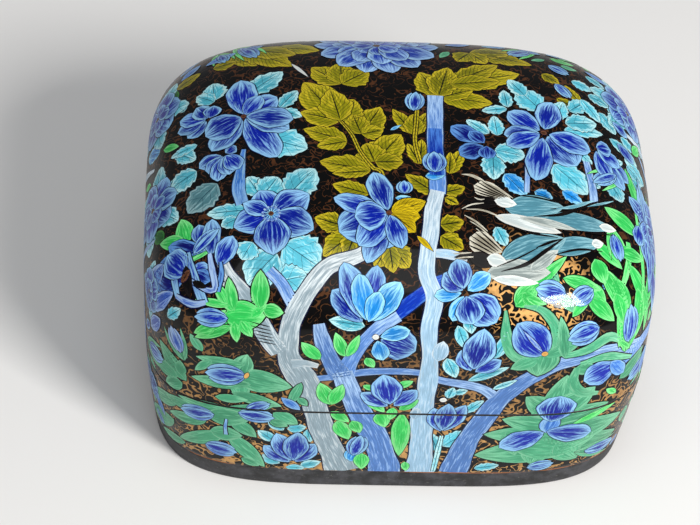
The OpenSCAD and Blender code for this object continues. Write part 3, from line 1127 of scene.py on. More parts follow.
def paint_dome_right(kit):
    """The big flower at the right with its leaves, a small one beside it, and the shoulder's leaves."""
    lay(kit.leaves, "top", TURQUOISE, [
        (26.2, 12, 25.5, 18.5, 3), (26, 11.5, 19.5, 10, 2.6), (34.8, 12, 29, 19.5, 6.5),
        (40.5, 9, 49, 12, 5), (40, 6.5, 50.5, 9, 3.5), (23, 1.5, 22.5, 8.5, 3.4), (21, 2, 15.5, 6.5, 3),
        (22, -3.5, 29.5, -5, 6), (21.5, -4, 21.3, -13.8, 5), (36.3, -6.5, 44.5, -14.5, 7.5),
        (51, -8, 53.5, -13, 4.5), (45.5, 20, 50, 13, 3.4), (43.7, 27, 49, 25, 3.4), (50, 27, 55, 25, 3),
        (52.5, 20, 59, 17, 3.2), (52, 8.5, 59.5, 4.5, 3.4), (56, 1.5, 60.5, -1, 4), (57, -2, 60, -5.5, 4),
        (21, -28, 23.5, -33, 3), (31, 17, 27, 23, 4), (48, 32, 53, 29, 3), (42, 14, 47, 19.6, 4),
        (50, 17, 54, 11, 4), (47.6, 22.6, 53.4, 21, 3.4), (41, 1.6, 46.6, -3.4, 3),
        (55.4, 11.4, 59, 8.4, 3), (38.4, 10, 40.6, 17, 4), (50, -2, 55, 2, 3), (43.6, -8, 48, -11, 4),
    ])
    lay(kit.leaves, "top", SKY, [
        (24, -11.5, 29, -18, 4.4), (31, -16.5, 35.5, -18, 3), (38, -15, 43, -18, 3),
        (47, -37, 50.5, -38.5, 3.2),
    ])
    spread(kit.petals, "top", 34.7, 4.1, BLUE, [
        (42.5, -5.5, 8.5), (46.5, 1, 6.5), (37.5, 16, 6), (26, 10.3, 6), (31.5, -13, 6), (24.5, 2, 5),
        (25, -1.8, 5),
    ])
    dot(kit.petals, "top", 34.7, 4.1, 1.8, BROWN)
    spread(kit.petals, "top", 47.5, 3, BLUE, [
        (56, -5, 4.5), (54.5, -8.5, 4.5), (51, -8, 4.5), (54, -1, 4.5), (52, 4, 4.5),
    ])
    spread(kit.petals, "top", 20, -2, DEEP_BLUE, [
        (11.5, 4, 5), (13.3, -6.3, 5), (16, 2.5, 3.5), (20, -7, 4),
    ])
    branch(kit.bark, along("top", (30, -5), (29.6, -11), (29.2, -17)), (1.6, 1.6), BLUE_BARK)
    branch(kit.bark, along("top", (45, -3), (45.8, -10), (46, -17)), (2.2, 2.6), BLUE_BARK)
    lay(kit.petals, "top", SOFT_BLUE, [
        (12, 40, 19, 42, 4), (31, 41, 37, 39, 4), (48, 35, 54, 32, 3.5),
    ], cut=SLIM_PETAL)
    lay(kit.petals, "top", BLUE, [
        (53.4, 15.6, 57.4, 12.4, 3), (54, 8, 58.4, 4, 3.4), (56.6, 23, 58.4, 18, 3),
        (60.5, -15, 55.5, -9.5, 4.4), (58, -17, 60.8, -28, 6.5), (57.5, -17.5, 57, -24, 4),
        (60, -26, 61, -33, 5),
    ])
    bud(kit, "top", (50, -24.5, 51.7, -31.5, 4.2), BLUE, GREEN)
    clump(kit.greens, "top", GREEN, [
        (56.8, -21.3, 48.5, -17, 5), (60, -6, 60.8, -13, 3), (45, -33, 47.5, -38, 4.6),
        (37, -39, 46.5, -39.5, 3.4), (54, -31, 58.5, -37, 4), (49.5, -36, 54, -41, 4.6),
        (56, -35, 57, -42, 4.2), (43, -41.5, 50, -43.5, 4), (27, -43, 31.5, -45.5, 3.6),
        (58.5, 8, 60.5, 13, 3),
    ])
    lay(kit.greens, "top", SEA_GREEN, [(32, -37.5, 36, -41, 4.4), (36, -42, 40, -45, 3)])
    branch(kit.greens, along("top", (54, -25), (54, -29), (53, -34), (51, -39)),
           (1.8, 2.2, 1.4), GREEN, GREEN_LIFT)
    closed_bud(kit, "top", (44.5, -39.8, 39, -43.5, 5.4), BLUE)


FINE_TIP = 0.15


def brush_lines(kit, colours, lift, ways):
    """Fine brush lines over the dome, pointed at both ends, each a width and the places that it takes."""
    for i, (width, *places) in enumerate(ways):
        widths = (FINE_TIP, width, width, FINE_TIP)
        branch(kit.ink, along("top", *places), widths, colours, lift + i % 3 * LINE_STEP, merged=True)


def paint_upper_bird(kit):
    """A crested bird that faces left, its tail held level."""
    clump(kit.ink, "top", FEATHER, [
        (33, -24.2, 50.5, -23.2, 5), (23.6, -22.6, 38, -20.2, 7.4),
    ], PETAL_LIFT - 0.02)
    lay(kit.ink, "top", WHITE, [(21, -25, 37, -28, 4), (46.6, -23.6, 51, -23.2, 2.6)], PETAL_LIFT + 0.01)
    lay(kit.ink, "top", GREY_FEATHER, [(27, -25, 41, -26.4, 2.4)], PETAL_LIFT + 0.02)
    lay(kit.ink, "top", CREAM, [(25, -19.4, 16.2, -16, 5.4)], PETAL_LIFT + 0.02, CREST)
    lay(kit.ink, "top", INK, [(15, -21.6, 22.6, -20.8, 3.8)], PETAL_LIFT + 0.03, BUD)
    lay(kit.ink, "top", INK, [(17.5, -21.6, 12.6, -23.8, 1.8)], PETAL_LIFT + 0.04, LANCE)
    lay(kit.ink, "top", WHITE, [(21, -20.4, 26.4, -21.2, 3.4)], PETAL_LIFT + 0.05)
    brush_lines(kit, CREAM, DETAIL_LIFT, [
        (0.9, (13.4, -12.6), (15.6, -12.8), (17.6, -13.8), (19.4, -15.2)),
        (0.5, (19, -14.6), (21.6, -16.2), (25.6, -19.4)), (0.4, (13, -23.4), (15.4, -22), (18.4, -21.4)),
        (0.5, (14, -23.4), (18.2, -23.6), (23, -25.6)),
        (0.4, (16.2, -19.8), (17.4, -20.4), (18.6, -20.2)),
    ])
    brush_lines(kit, INK, DETAIL_LIFT + 0.012, [
        (0.4, (17.8, -14.2), (20.6, -16.4), (24.4, -19)), (0.4, (17, -14.8), (20, -17), (24, -19.2)),
        (0.4, (16.4, -15.8), (19.4, -17.6), (23.6, -19.4)),
        (0.4, (16.2, -16.8), (19, -18.2), (23, -19.6)),
        (0.4, (16.2, -17.8), (18.6, -18.8), (22.4, -19.8)),
        (0.4, (16.2, -18.6), (18.2, -19.4), (21.6, -20)),
        (1.0, (30.4, -24.3), (37, -22.7), (42.6, -19.2), (48.8, -14.6)),
        (0.7, (34.6, -21.5), (39.8, -19.9), (44.8, -17.4)), (0.6, (22, -26.6), (29, -29), (36, -29.4)),
        (0.5, (41, -26.6), (46, -26), (50, -25)), (0.5, (26, -18.4), (31, -18.4), (36, -19), (41, -19.4)),
    ])
    brush_lines(kit, FEATHER, DETAIL_LIFT + 0.03, [
        (1.0, (36, -21.2), (40.4, -19.6), (46, -16)), (0.6, (44, -18.6), (48.6, -15.8), (51, -14)),
    ])


def paint_lower_bird(kit):
    """The second crested bird, bowed, with its tail held up."""
    clump(kit.ink, "top", FEATHER, [
        (33.5, -32.8, 47, -28.4, 5), (22, -36.6, 38, -29.4, 8),
    ], PETAL_LIFT - 0.02)
    lay(kit.ink, "top", GREY_FEATHER, [
        (18.6, -39.4, 34, -38.2, 6.6), (29, -38.4, 36, -32.6, 3.4),
    ], PETAL_LIFT + 0.01)
    lay(kit.ink, "top", WHITE, [
        (20, -40.6, 31, -40.8, 2.6), (44.4, -29.4, 47.4, -28.2, 2.6),
    ], PETAL_LIFT + 0.026)
    lay(kit.ink, "top", CREAM, [(22.4, -34.6, 14.6, -31.2, 6)], PETAL_LIFT + 0.02, CREST)
    lay(kit.ink, "top", INK, [(14.4, -35.6, 20.4, -37.6, 4)], PETAL_LIFT + 0.03, BUD)
    lay(kit.ink, "top", INK, [(16, -35.6, 10.8, -36.2, 1.8)], PETAL_LIFT + 0.04, LANCE)
    lay(kit.ink, "top", WHITE, [(18.6, -36.2, 23.4, -36.8, 3.6)], PETAL_LIFT + 0.05)
    brush_lines(kit, CREAM, DETAIL_LIFT, [
        (0.5, (13.6, -25.2), (16.4, -27), (19, -29.4)),
        (0.4, (14.8, -26.8), (17.4, -28.6), (20.4, -31.8)),
        (0.5, (16.2, -28.8), (19.4, -31), (22.4, -34)), (0.4, (10.8, -35.4), (13, -35.2), (15, -35)),
        (0.4, (11, -36.6), (13, -36.2), (15.4, -36)),
    ])
    brush_lines(kit, INK, DETAIL_LIFT + 0.012, [
        (0.4, (16.8, -29), (19, -31.2), (22, -34)), (0.4, (15.8, -29.8), (18.2, -31.8), (21.4, -34.4)),
        (0.4, (15, -30.8), (17.4, -32.4), (20.8, -34.6)),
        (0.4, (14.4, -31.8), (16.8, -33.2), (20.2, -35)), (0.4, (13.8, -33), (16.2, -34), (19.4, -35.4)),
        (1.0, (22, -39), (28, -37), (33, -33.2), (37.4, -29.4)),
        (0.7, (30.6, -32.8), (34, -31), (37, -29.6)), (0.6, (35, -34), (41, -31.6), (47, -30.6)),
        (0.4, (21, -38), (26, -35.8), (31, -32.8)),
    ])


def paint_birds(kit):
    """Two crested birds in the right half, one below the other."""
    paint_upper_bird(kit)
    paint_lower_bird(kit)


# Ornament of the front, in millimetres to the right of its middle and above the table

def paint_trunks(kit):
    """The trunks and branches that rise from the foot and spread over the lid."""
    thin_branch = along("front", (-28, 42.5), (-20, 43.5), (-15, 44.5), (-10, 46), (-4, 46.6), (4, 46.2),
                        (9, 43.6), (17, 41.6), (21, 39.4), (23.6, 36))
    white_fork = along("front", (-30, 52), (-34.6, 59), (-38, 64), (-43, 66.8), (-45.5, 69))
    white_trunk = along("front", (-12.5, 6.5), (-17.5, 20), (-20.1, 30), (-22.8, 40), (-27.5, 50),
                        (-28, 57), (-27, 62))
    white_trunk += along("top", (-23.3, -43), (-19, -38.7), (-14, -37), (-10.5, -35.4), (-8, -32))
    blue_trunk = along("front", (-2.3, 6.5), (-2.6, 10), (-5, 20), (-9.3, 30), (-13, 40), (-14.8, 46))
    blue_fork = along("front", (-14.8, 44), (-17.2, 49), (-18.8, 53), (-20.4, 58), (-21, 60.6))
    blue_limb = along("front", (-14.4, 44), (-13.4, 49), (-11, 55), (-8, 59), (-5, 61.4), (-2.4, 63))
    deep_limb = along("front", (-3, 63), (3, 66.5), (8, 68.6), (13, 68.4))
    pale_trunk = along("front", (6.6, 6.5), (6.4, 14), (6.1, 20), (5.6, 30), (6, 40), (6, 50), (5.2, 60),
                       (6.2, 66))
    pale_trunk += along("top", (4.3, -40), (4.6, -35), (5.4, -30), (6, -24), (7.4, -18))
    pale_top = along("top", (7.4, -19), (7.6, -12), (7.4, -4), (7.8, 6), (8.2, 15))
    right_trunk = along("front", (15, 6.5), (15.6, 10), (17.5, 20), (20.5, 28), (23.2, 35), (26.4, 40),
                        (31.5, 45.2), (38.6, 49.4), (47.8, 50.2), (53, 48.6), (59, 45))
    grow(kit.bark, [
        (thin_branch, (1.6, 2, 2.4, 2.2, 2.2, 2.8, 3.2), BLUE_BARK, 1),
        (white_fork, (4.5, 5, 3.8, 3, 2.4), WHITE_BARK, 2),
        (white_trunk, (9, 6.4, 6.2, 6, 5.8, 7.5, 5.4, 4.6, 4.4, 4.2, 3.6, 3), WHITE_BARK, 2),
        (blue_trunk, (8, 6.6, 7, 6, 5.4, 5), BLUE_BARK, 2),
        (blue_fork, (5.4, 4.6, 4.2, 4.2, 2.6), BLUE_BARK, 2),
        (blue_limb, (4.8, 4, 3.4, 3.2, 3.6), BLUE_BARK, 2),
        (deep_limb, (3.4, 3.4, 3.2, 3), DEEP_BARK, 1),
        (pale_top, (3.8, 4, 3.8, 4), BLUE_BARK, 2),
        (pale_trunk, (7.4, 6, 5.4, 5.6, 4.6, 4.8, 3.6, 4, 4, 4, 3.8, 4, 3.6), PALE_BARK, 3),
        (right_trunk, (7, 6.4, 5.4, 5.6, 5, 4.4, 4.2, 4.4, 4.6, 4), BLUE_BARK, 2),
    ])
    branch(kit.bark, along("top", (7.4, -13), (7.4, -5), (7.6, 3)),
           (3.5, 3.7, 3.3), DEEP_BARK, BARK_LIFT + 0.042, merged=True)
    for low, high, width in (((7.8, 50.6), (8.8, 57), 4), ((3.8, 28.4), (4.2, 33), 3)):
        petal(kit.bark, *along("front", low, high), width, PALE_BARK, BARK_LIFT + 0.055, BUD, merged=True)
    branch(kit.bark, along("top", (6.5, -35.3), (10, -35.6), (14, -36.6)),
           (2.6, 2.8, 2), PALE_BARK, BARK_LIFT + 0.024)
    lay(kit.bark, "top", YELLOW, [(2, -31, 6, -35, 1.6)], BARK_LIFT + 0.055)
    branch(kit.bark, along("front", (-27, 48.4), (-24, 48.8), (-20.6, 48)),
           (3.4, 2.4, 1.6), WHITE_BARK, BARK_LIFT + 0.038, merged=True)
    # Dark brush marks across the white fork.
    for i in range(6):
        row = (-31 - i * 0.3, 54.6 + i * 0.9, -36 - i * 0.25, 55.2 + i * 0.9, 0.3)
        lay(kit.ink, "front", INK, [row], DETAIL_LIFT - 0.04, LANCE)


def paint_front_left(kit):
    """Buds in green leaves, three above the seam and three below it, and a lily at the foot."""
    clump(kit.greens, "front", GREEN, [
        (-43.4, 59.8, -33.6, 61.3, 7.4), (-41.5, 61, -46, 65, 2.8), (-41, 61.2, -42.5, 66.2, 3),
        (-42, 62, -50.2, 60.6, 2), (-41.5, 57.8, -50.2, 51.8, 2.8), (-41, 59, -40.2, 53.8, 2.6),
        (-39.5, 59.5, -36.6, 56, 3), (-34.8, 62.6, -35, 68.4, 4.4), (-34.4, 62.6, -29.4, 62.4, 3.6),
        (-37, 60.6, -33.4, 63.6, 2), (-45.4, 56.6, -50.4, 53, 3),
    ])
    bud(kit, "front", (-42.3, 59.4, -50.5, 57.1, 5.2), BLUE, GREEN, sepals=False)
    bud(kit, "front", (-53.4, 44.5, -56, 51.3, 5), MAUVE, SEA_GREEN)
    for rows in (
        [(-41, 42.6, -26.6, 39.8, 8), (-39.6, 42.5, -37.6, 50.4, 5.4), (-38, 46.6, -49.8, 45.8, 3.4),
         (-36.5, 39.8, -50.8, 38.4, 4.2), (-39.4, 42.5, -38.6, 33.6, 5), (-41, 36.2, -28.8, 32.4, 4),
         (-46, 46.2, -50, 41, 2.4), (-45, 33.6, -37, 34, 3)],
        [(-52, 36, -58.6, 43.4, 5), (-53, 34.6, -57, 31.4, 4.4), (-54, 36, -60.4, 36, 4.6),
         (-53.4, 37, -53.6, 42, 3.4)],
        [(-38, 28.6, -54, 29.4, 4), (-44, 28.6, -30.8, 32.2, 3.6), (-47, 26, -36, 26.8, 7),
         (-47, 23, -56, 19.6, 4.4), (-41, 26, -34.6, 19.4, 4.4), (-50, 27, -57, 26, 4)],
        [(-30.8, 29.8, -24.6, 25.6, 4.6), (-31.6, 26.6, -27, 24.6, 3)],
        [(-42.2, 19.8, -53.4, 10.6, 5), (-41.4, 19.8, -32.2, 7, 5), (-46, 19.4, -38, 19.4, 6),
         (-38, 10, -33.6, 7.2, 3)],
        [(-54, 27, -60, 20, 5), (-55, 17, -60, 8, 6), (-52, 9.6, -57.6, 7.4, 3.6)],
        [(-24.4, 41.6, -27.2, 32.4, 2.6), (-25, 36, -22.6, 33, 2.2)],
    ):
        clump(kit.greens, "front", SEA_GREEN, rows)
    branch(kit.greens, along("front", (-42, 19), (-42.3, 22), (-42.1, 25.5)),
           (1.4, 1), SOFT_BLUE, GREEN_LIFT + 0.02)
    for row in (
        (-37.8, 43, -47.7, 41.3, 8.4), (-45, 26.6, -53.4, 24.2, 6.6), (-39.4, 28.9, -30.2, 27.6, 6),
        (-37.6, 30.4, -31.4, 33.4, 4), (-47.2, 12.8, -39, 12, 7),
    ):
        closed_bud(kit, "front", row, BLUE)
    lay(kit.petals, "front", SOFT_BLUE, [(-29.2, 36, -24.2, 31.2, 3), (-57, 15, -60, 22, 4)], cut=SLIM_PETAL)
    lay(kit.petals, "front", GOLD, [(-38, 41.8, -37.2, 44.2, 1.4)], DETAIL_LIFT, DOT)
    lay(kit.leaves, "front", TURQUOISE, [
        (-28.5, 8.8, -33, 12.4, 4.4), (-23.5, 8, -18.2, 10.4, 3.6), (-30, 18.2, -34.4, 22.4, 3.8),
        (-28, 22.8, -32, 27.4, 3.8), (-27.2, 23.4, -22.4, 24.6, 4), (-22.2, 23.6, -21.2, 18.2, 3),
        (-27, 7.4, -22, 7.4, 3),
    ], cut=SMOOTH_LEAF)
    spread(kit.petals, "front", -25.2, 9, BLUE, [
        (-32.8, 16.4, 5), (-20, 18, 5.2), (-29.8, 21.8, 5.4), (-24.4, 22.6, 6),
    ], cut=LILY_PETAL)


def paint_front_middle(kit):
    """The fan-shaped flower, the drooping one, the lilies and the leaves between the trunks."""
    spread(kit.petals, "front", -9.8, 60.6, BLUE, [(-18.2, 67, 5), (-15.4, 70.6, 5.4), (-7.4, 70.4, 5)])
    spread(kit.petals, "front", -9.6, 60.6, SKY, [
        (-11.8, 69.4, 4.6), (-1.8, 68.4, 5.4), (-6.8, 67, 4),
    ], PETAL_LIFT + 0.024)
    lay(kit.leaves, "front", TURQUOISE, [(-10, 60.4, -18.8, 61.6, 4.2)], GREEN_LIFT, SMOOTH_LEAF)
    lay(kit.greens, "front", GREEN, [(-14.4, 51.6, -17, 58.8, 3.4), (-14, 51.6, -11.2, 58.4, 2.8)])
    spread(kit.petals, "front", -7.2, 57.6, BLUE, [(2.4, 54, 8)], PETAL_LIFT + 0.02)
    spread(kit.petals, "front", -7.2, 57.6, SKY, [(0.8, 59.6, 3.6), (-5.2, 50.6, 3.8)], PETAL_LIFT + 0.03)
    dot(kit.petals, "front", -7.4, 57.8, 1.8, WHITE)
    lay(kit.greens, "front", GREEN, [
        (-9.4, 51.4, -7.2, 47.8, 2.8), (-20.2, 50.4, -25, 55.8, 3.8), (-17, 33.6, -20, 42, 4.6),
        (-16.8, 33.6, -14.4, 41.6, 4), (-16.8, 31, -12, 26.8, 3.4), (-15.2, 27.4, -11.8, 19.8, 4.6),
        (-11.4, 27.6, -9.2, 22.6, 3.6), (-8.4, 14.4, -8, 7.4, 4.2), (-9.6, 41.2, -6, 39.6, 2.2),
        (-1.4, 40.8, 2.6, 43.2, 2.8), (-8.6, 36.8, -3.6, 31, 3.4), (-0.2, 32, 4.4, 36.2, 3.2),
        (-5, 31, -3.2, 25, 4.4), (0.6, 30.8, 1, 13.2, 5), (2.6, 11, 3.2, 7, 2.4), (-1.6, 33, -2.2, 28, 3),
    ])
    spread(kit.petals, "front", -2.2, 32.8, BLUE, [
        (-10, 38.6, 4.6), (3.8, 40, 4.6), (-4.9, 45.6, 7),
    ], cut=LILY_PETAL)
    bud(kit, "front", (-10.4, 13.2, -8.8, 21.8, 6), BLUE, SKY, sepals=False)
    spread(kit.petals, "front", 10.8, 22.8, BLUE, [
        (8.2, 33.2, 4.6), (16, 34.6, 4.6), (11.8, 35, 5),
    ], cut=LILY_PETAL)
    dot(kit.petals, "front", 10.3, 36.3, 2, WHITE)
    lay(kit.leaves, "front", TURQUOISE, [
        (10.4, 15.6, 8.2, 23, 3), (11.6, 17.6, 17.8, 24.2, 4.6), (15.8, 31.4, 20.2, 36.2, 2.6),
        (11.4, 36.8, 12.4, 41, 2.4), (12.6, 38.6, 16, 40, 2),
    ])
    branch(kit.leaves, along("front", (10, 7), (10.4, 13), (11, 22)), (1.4, 1.8, 1.2), TURQUOISE, GREEN_LIFT)


def paint_front_right(kit):
    """The wide blue flower, a lily, the striped round bud and the big leaf with its three-petalled flower."""
    spread(kit.petals, "front", 13.4, 67, SKY, [(6, 66.4, 3), (10.6, 61.8, 3.6), (19.4, 69.6, 3.8)])
    spread(kit.petals, "front", 13.4, 67, BLUE, [
        (8.2, 69.6, 4.8), (11.4, 71.2, 5), (21.2, 61.6, 7.2), (15.6, 61.2, 6.2),
    ], PETAL_LIFT + 0.024)
    lay(kit.leaves, "front", TURQUOISE, [
        (14.4, 63, 15.4, 59, 3.6), (11.9, 61, 14.5, 54.6, 3.4), (9.9, 51.8, 12.7, 44.6, 4),
        (15.6, 43.6, 25.4, 48.8, 3.2), (21.8, 40.4, 27.8, 44, 2.2), (21.3, 51.6, 24.6, 60, 3.4),
    ], GREEN_LIFT, SMOOTH_LEAF)
    spread(kit.petals, "front", 16.4, 46.4, BLUE, [
        (13.1, 54.6, 4.4), (23.2, 51.4, 4.6), (18.4, 60.4, 7.4),
    ], cut=LILY_PETAL)
    grow_sepals(kit, SEA_GREEN, [
        ((0.6, 2.8, 3.2, 3.4), (23.2, 64), (23.8, 58), (26, 53), (31, 49.4)),
        ((0.6, 2.4, 2.6, 2.4), (27.6, 64.6), (32, 63.6), (35.4, 60), (35.6, 55), (34, 51)),
        ((1.6, 2.6, 3, 1.4), (38.4, 51.6), (44, 52.6), (49, 54.6), (52.4, 52)),
        ((1.6, 3, 3.2, 1.2), (42, 47), (41.4, 42), (44, 37.6), (48.4, 36.2)),
        ((1.6, 2.6, 1), (42.6, 48), (49, 48.6), (56, 44)),
    ])
    clump(kit.greens, "front", SEA_GREEN, [
        (33, 55, 32.4, 45.2, 9), (32, 51.6, 25.6, 48, 4.6), (33.4, 52, 42.6, 56, 3.8),
        (38.4, 51, 36.6, 62, 3.2),
    ], GREEN_LIFT + 0.008)
    lay(kit.petals, "front", BLUE, [(33.6, 52.6, 26, 61.4, 9.6)], PETAL_LIFT + 0.02, BUD)
    lay(kit.petals, "front", MAUVE, [(33, 53.4, 27.4, 60, 1.3)], DETAIL_LIFT - 0.04, LANCE)
    dot(kit.petals, "front", 33.4, 53, 1.8, GOLD)
    for row in ((46.4, 58, 38.6, 56.4, 7.4), (37.8, 65.6, 30.2, 67.2, 6.4)):
        closed_bud(kit, "front", row, BLUE)
    clump(kit.greens, "front", GREEN, [
        (45, 69.6, 52, 65, 3.4), (46.6, 67, 53.6, 57, 4.6), (51, 67, 58, 62, 4), (50, 63, 52.6, 56, 3.6),
        (44, 66, 47.6, 62, 3), (57.5, 60, 58.6, 49, 2.6), (56, 67, 60.2, 60.4, 3.4),
        (39.4, 61.6, 44.6, 65.4, 2.6), (51, 60, 52, 50, 2.2), (52, 52, 55, 47.6, 2),
    ])
    clump(kit.greens, "front", GREEN, [
        (25.6, 64.6, 30.6, 68, 5), (29, 67, 38, 70, 2.6), (28, 66, 33, 64.6, 2),
    ])
    bud(kit, "front", (54.3, 50, 54.2, 59.4, 5.6), BLUE, GREEN)
    bud(kit, "front", (59.2, 57, 59, 63.4, 4.2), BLUE, GREEN)
    clump(kit.greens, "front", SEA_GREEN, [(41.6, 47, 46.6, 45.4, 4.4), (53.6, 38.4, 59.4, 43, 5)])
    lay(kit.petals, "front", BLUE, [(51.8, 45, 44, 41.8, 7.4)], PETAL_LIFT + 0.02)
    lay(kit.petals, "front", SOFT_BLUE, [
        (50.4, 46.4, 54.4, 40, 3.6), (59.6, 33, 60.4, 41, 4),
    ], PETAL_LIFT + 0.03)
    paint_big_leaf(kit)


def grow_sepals(kit, colours, ways):
    """Curved sepals on the front, each its widths and the places that it takes, with one dark rim."""
    rows = [(along("front", *places), widths, colours, 1) for widths, *places in ways]
    grow(kit.greens, rows, GREEN_LIFT, knots=0.0)


def paint_big_leaf(kit):
    """The many-lobed leaf at the lower right, which lies over the seam, and its three blue petals."""
    clump(kit.greens, "front", SEA_GREEN, [
        (44, 17, 19.8, 14.2, 10), (40, 22, 21.4, 22.8, 7), (40, 25, 25.4, 29, 7), (34, 22, 56, 22.8, 10),
        (38, 18, 55.6, 15, 8), (38, 27, 51.6, 31.4, 7), (36, 18, 34.4, 9.8, 8), (40, 18, 46, 9.6, 8),
        (39, 30, 30.4, 37.6, 7), (38.4, 28, 39.8, 44.8, 8.4), (37, 30, 47.4, 38.8, 8),
        (29, 18, 50, 18.6, 13), (32, 30, 45, 30.4, 12), (27, 24, 30, 14, 5),
    ], GREEN_LIFT - 0.012)
    lay(kit.greens, "front", GREEN, [(43, 25.6, 54.5, 31, 2.6)], DETAIL_LIFT - 0.02, LANCE)
    lay(kit.petals, "front", SOFT_BLUE, [(36.6, 23, 38.4, 31, 5.6)], PETAL_LIFT + 0.03, SMOOTH_LEAF)
    lay(kit.petals, "front", BLUE, [
        (36.4, 23.4, 25.6, 17.4, 6.6), (36.8, 23.6, 48.6, 20.6, 6.4), (37.6, 27.4, 39, 37.4, 8.6),
    ], PETAL_LIFT + 0.04)
    closed_bud(kit, "front", (33.4, 8.4, 40.4, 9.6, 4.8), BLUE)
    lay(kit.leaves, "front", TURQUOISE, [(20.2, 8.4, 26.4, 9.8, 2.8)])


# Ornament of the other three sides, in millimetres to the right of each one's middle and above the table

def paint_side(kit, side, trunks, flowers, buds, leaves):
    """One side in the manner of the front: trunks, open flowers, buds and loose leaves.

    A flower's or a bud's row ends with its paints where they aren't the usual ones."""
    grow(kit.bark, [
        (along(side, *way), widths + (0.8,), colours, 2 if widths[0] > 3 else 1)
        for way, widths, colours in trunks
    ])
    for x, z, radius, count, *paints in flowers:
        full_flower(kit, side, x, z, radius, count, x * 7 + z, *(paints or (BLUE, TURQUOISE)))
    for x0, z0, x1, z1, width, *green in buds:
        bud(kit, side, (x0, z0, x1, z1, width), BLUE, *(green or [SEA_GREEN]))
    for *row, colours in leaves:
        lay(kit.leaves if colours is TURQUOISE else kit.greens, side, colours, [row], LEAF_LIFT)


def painted_places(kits):
    """The middles of all the painted faces so far, to find bare ground with."""
    faces = [face for kit in kits for art in vars(kit).values() for face in art.bm.faces]
    tree = kdtree.KDTree(len(faces))
    for i, face in enumerate(faces):
        tree.insert(face.calc_center_median(), i)
    tree.balance()
    return tree


# The heights that small leaves may fill, and how far they keep from painted faces and each other.
FILL_LOW, FILL_HIGH = 9, 72
FILL_GAP = 1.3
LEAF_SPACING = 5.4


def fill_bare_ground(kit, side, half_width, painted, tries):
    """Small leaves and buds where a side's ground is still bare."""
    laid = []
    for _ in range(tries):
        x, z = random.uniform(-half_width, half_width), random.uniform(FILL_LOW, FILL_HIGH)
        turn = random.uniform(0, 2 * math.pi)
        length = random.uniform(4.5, 8)
        at = spot(side, x, z)
        way = at.right * math.cos(turn) + at.up * math.sin(turn)
        tip = press(at.point + way * length, 0.0)
        middle = press(at.point + way * length / 2, 0.0)
        if min(painted.find(Vector(p))[2] for p in (at.point, middle, tip)) < FILL_GAP:
            continue
        if any(np.linalg.norm(middle - other) < LEAF_SPACING for other in laid):
            continue
        laid.append(middle)
        width = length * random.uniform(0.42, 0.6)
        colours = random.choice((TURQUOISE, SEA_GREEN, GREEN, SEA_GREEN, SKY))
        if colours in (GREEN, SEA_GREEN):
            petal(kit.greens, at.point, tip, width, colours, LEAF_LIFT, SMOOTH_LEAF)
        elif random.random() < 0.35:
            petal(kit.petals, at.point, tip, width, BLUE, LEAF_LIFT, BUD)
        else:
            petal(kit.leaves, at.point, tip, width, colours, LEAF_LIFT, TOOTHED)


def paint_right(kit):
    """The right side, in the manner of the front."""
    paint_side(
        kit, "right",
        trunks=[
            (((-46, 44), (-38, 46), (-26, 44), (-12, 47), (0, 53), (10, 61)),
             (4, 4, 3.6, 3.2, 2.4, 1.8), BLUE_BARK),
            (((4, 6.5), (2, 18), (6, 30), (4, 42), (12, 54), (14, 66)), (7, 6, 5.4, 5, 4, 3), PALE_BARK),
            (((34, 6.5), (32, 20), (27, 32), (30, 46), (36, 56)), (6, 5, 4.6, 4, 2.6), BLUE_BARK),
            (((-26, 6.5), (-24, 18), (-28, 30), (-26, 44)), (6, 5, 4.6, 3.4), WHITE_BARK),
        ],
        flowers=[
            (-14, 58, 9, 6), (24, 62, 10, 7), (-30, 24, 7, 6, BLUE, SEA_GREEN),
            (17, 24, 9, 6, DEEP_BLUE, TURQUOISE), (42, 42, 7.5, 6), (-8, 20, 7, 5),
        ],
        buds=[
            (-12, 36, -18, 38, 5), (14, 42, 20, 46, 6), (-36, 38, -43, 36, 5.4), (44, 14, 44, 22, 6),
            (-4, 68, -10, 71, 4.6, GREEN), (-2, 10, -8, 9, 4.6), (26, 12, 22, 9, 4.6),
            (44, 60, 40, 67, 5, GREEN), (-46, 12, -40, 10, 5),
        ],
        leaves=[
            (-30, 52, -36, 50, 4, GREEN), (8, 36, 14, 34, 4, GREEN), (30, 34, 38, 30, 5, SEA_GREEN),
            (-20, 30, -16, 32, 3, TURQUOISE), (0, 60, 4, 66, 4, TURQUOISE),
            (36, 50, 30, 52, 3.6, TURQUOISE),
        ],
    )


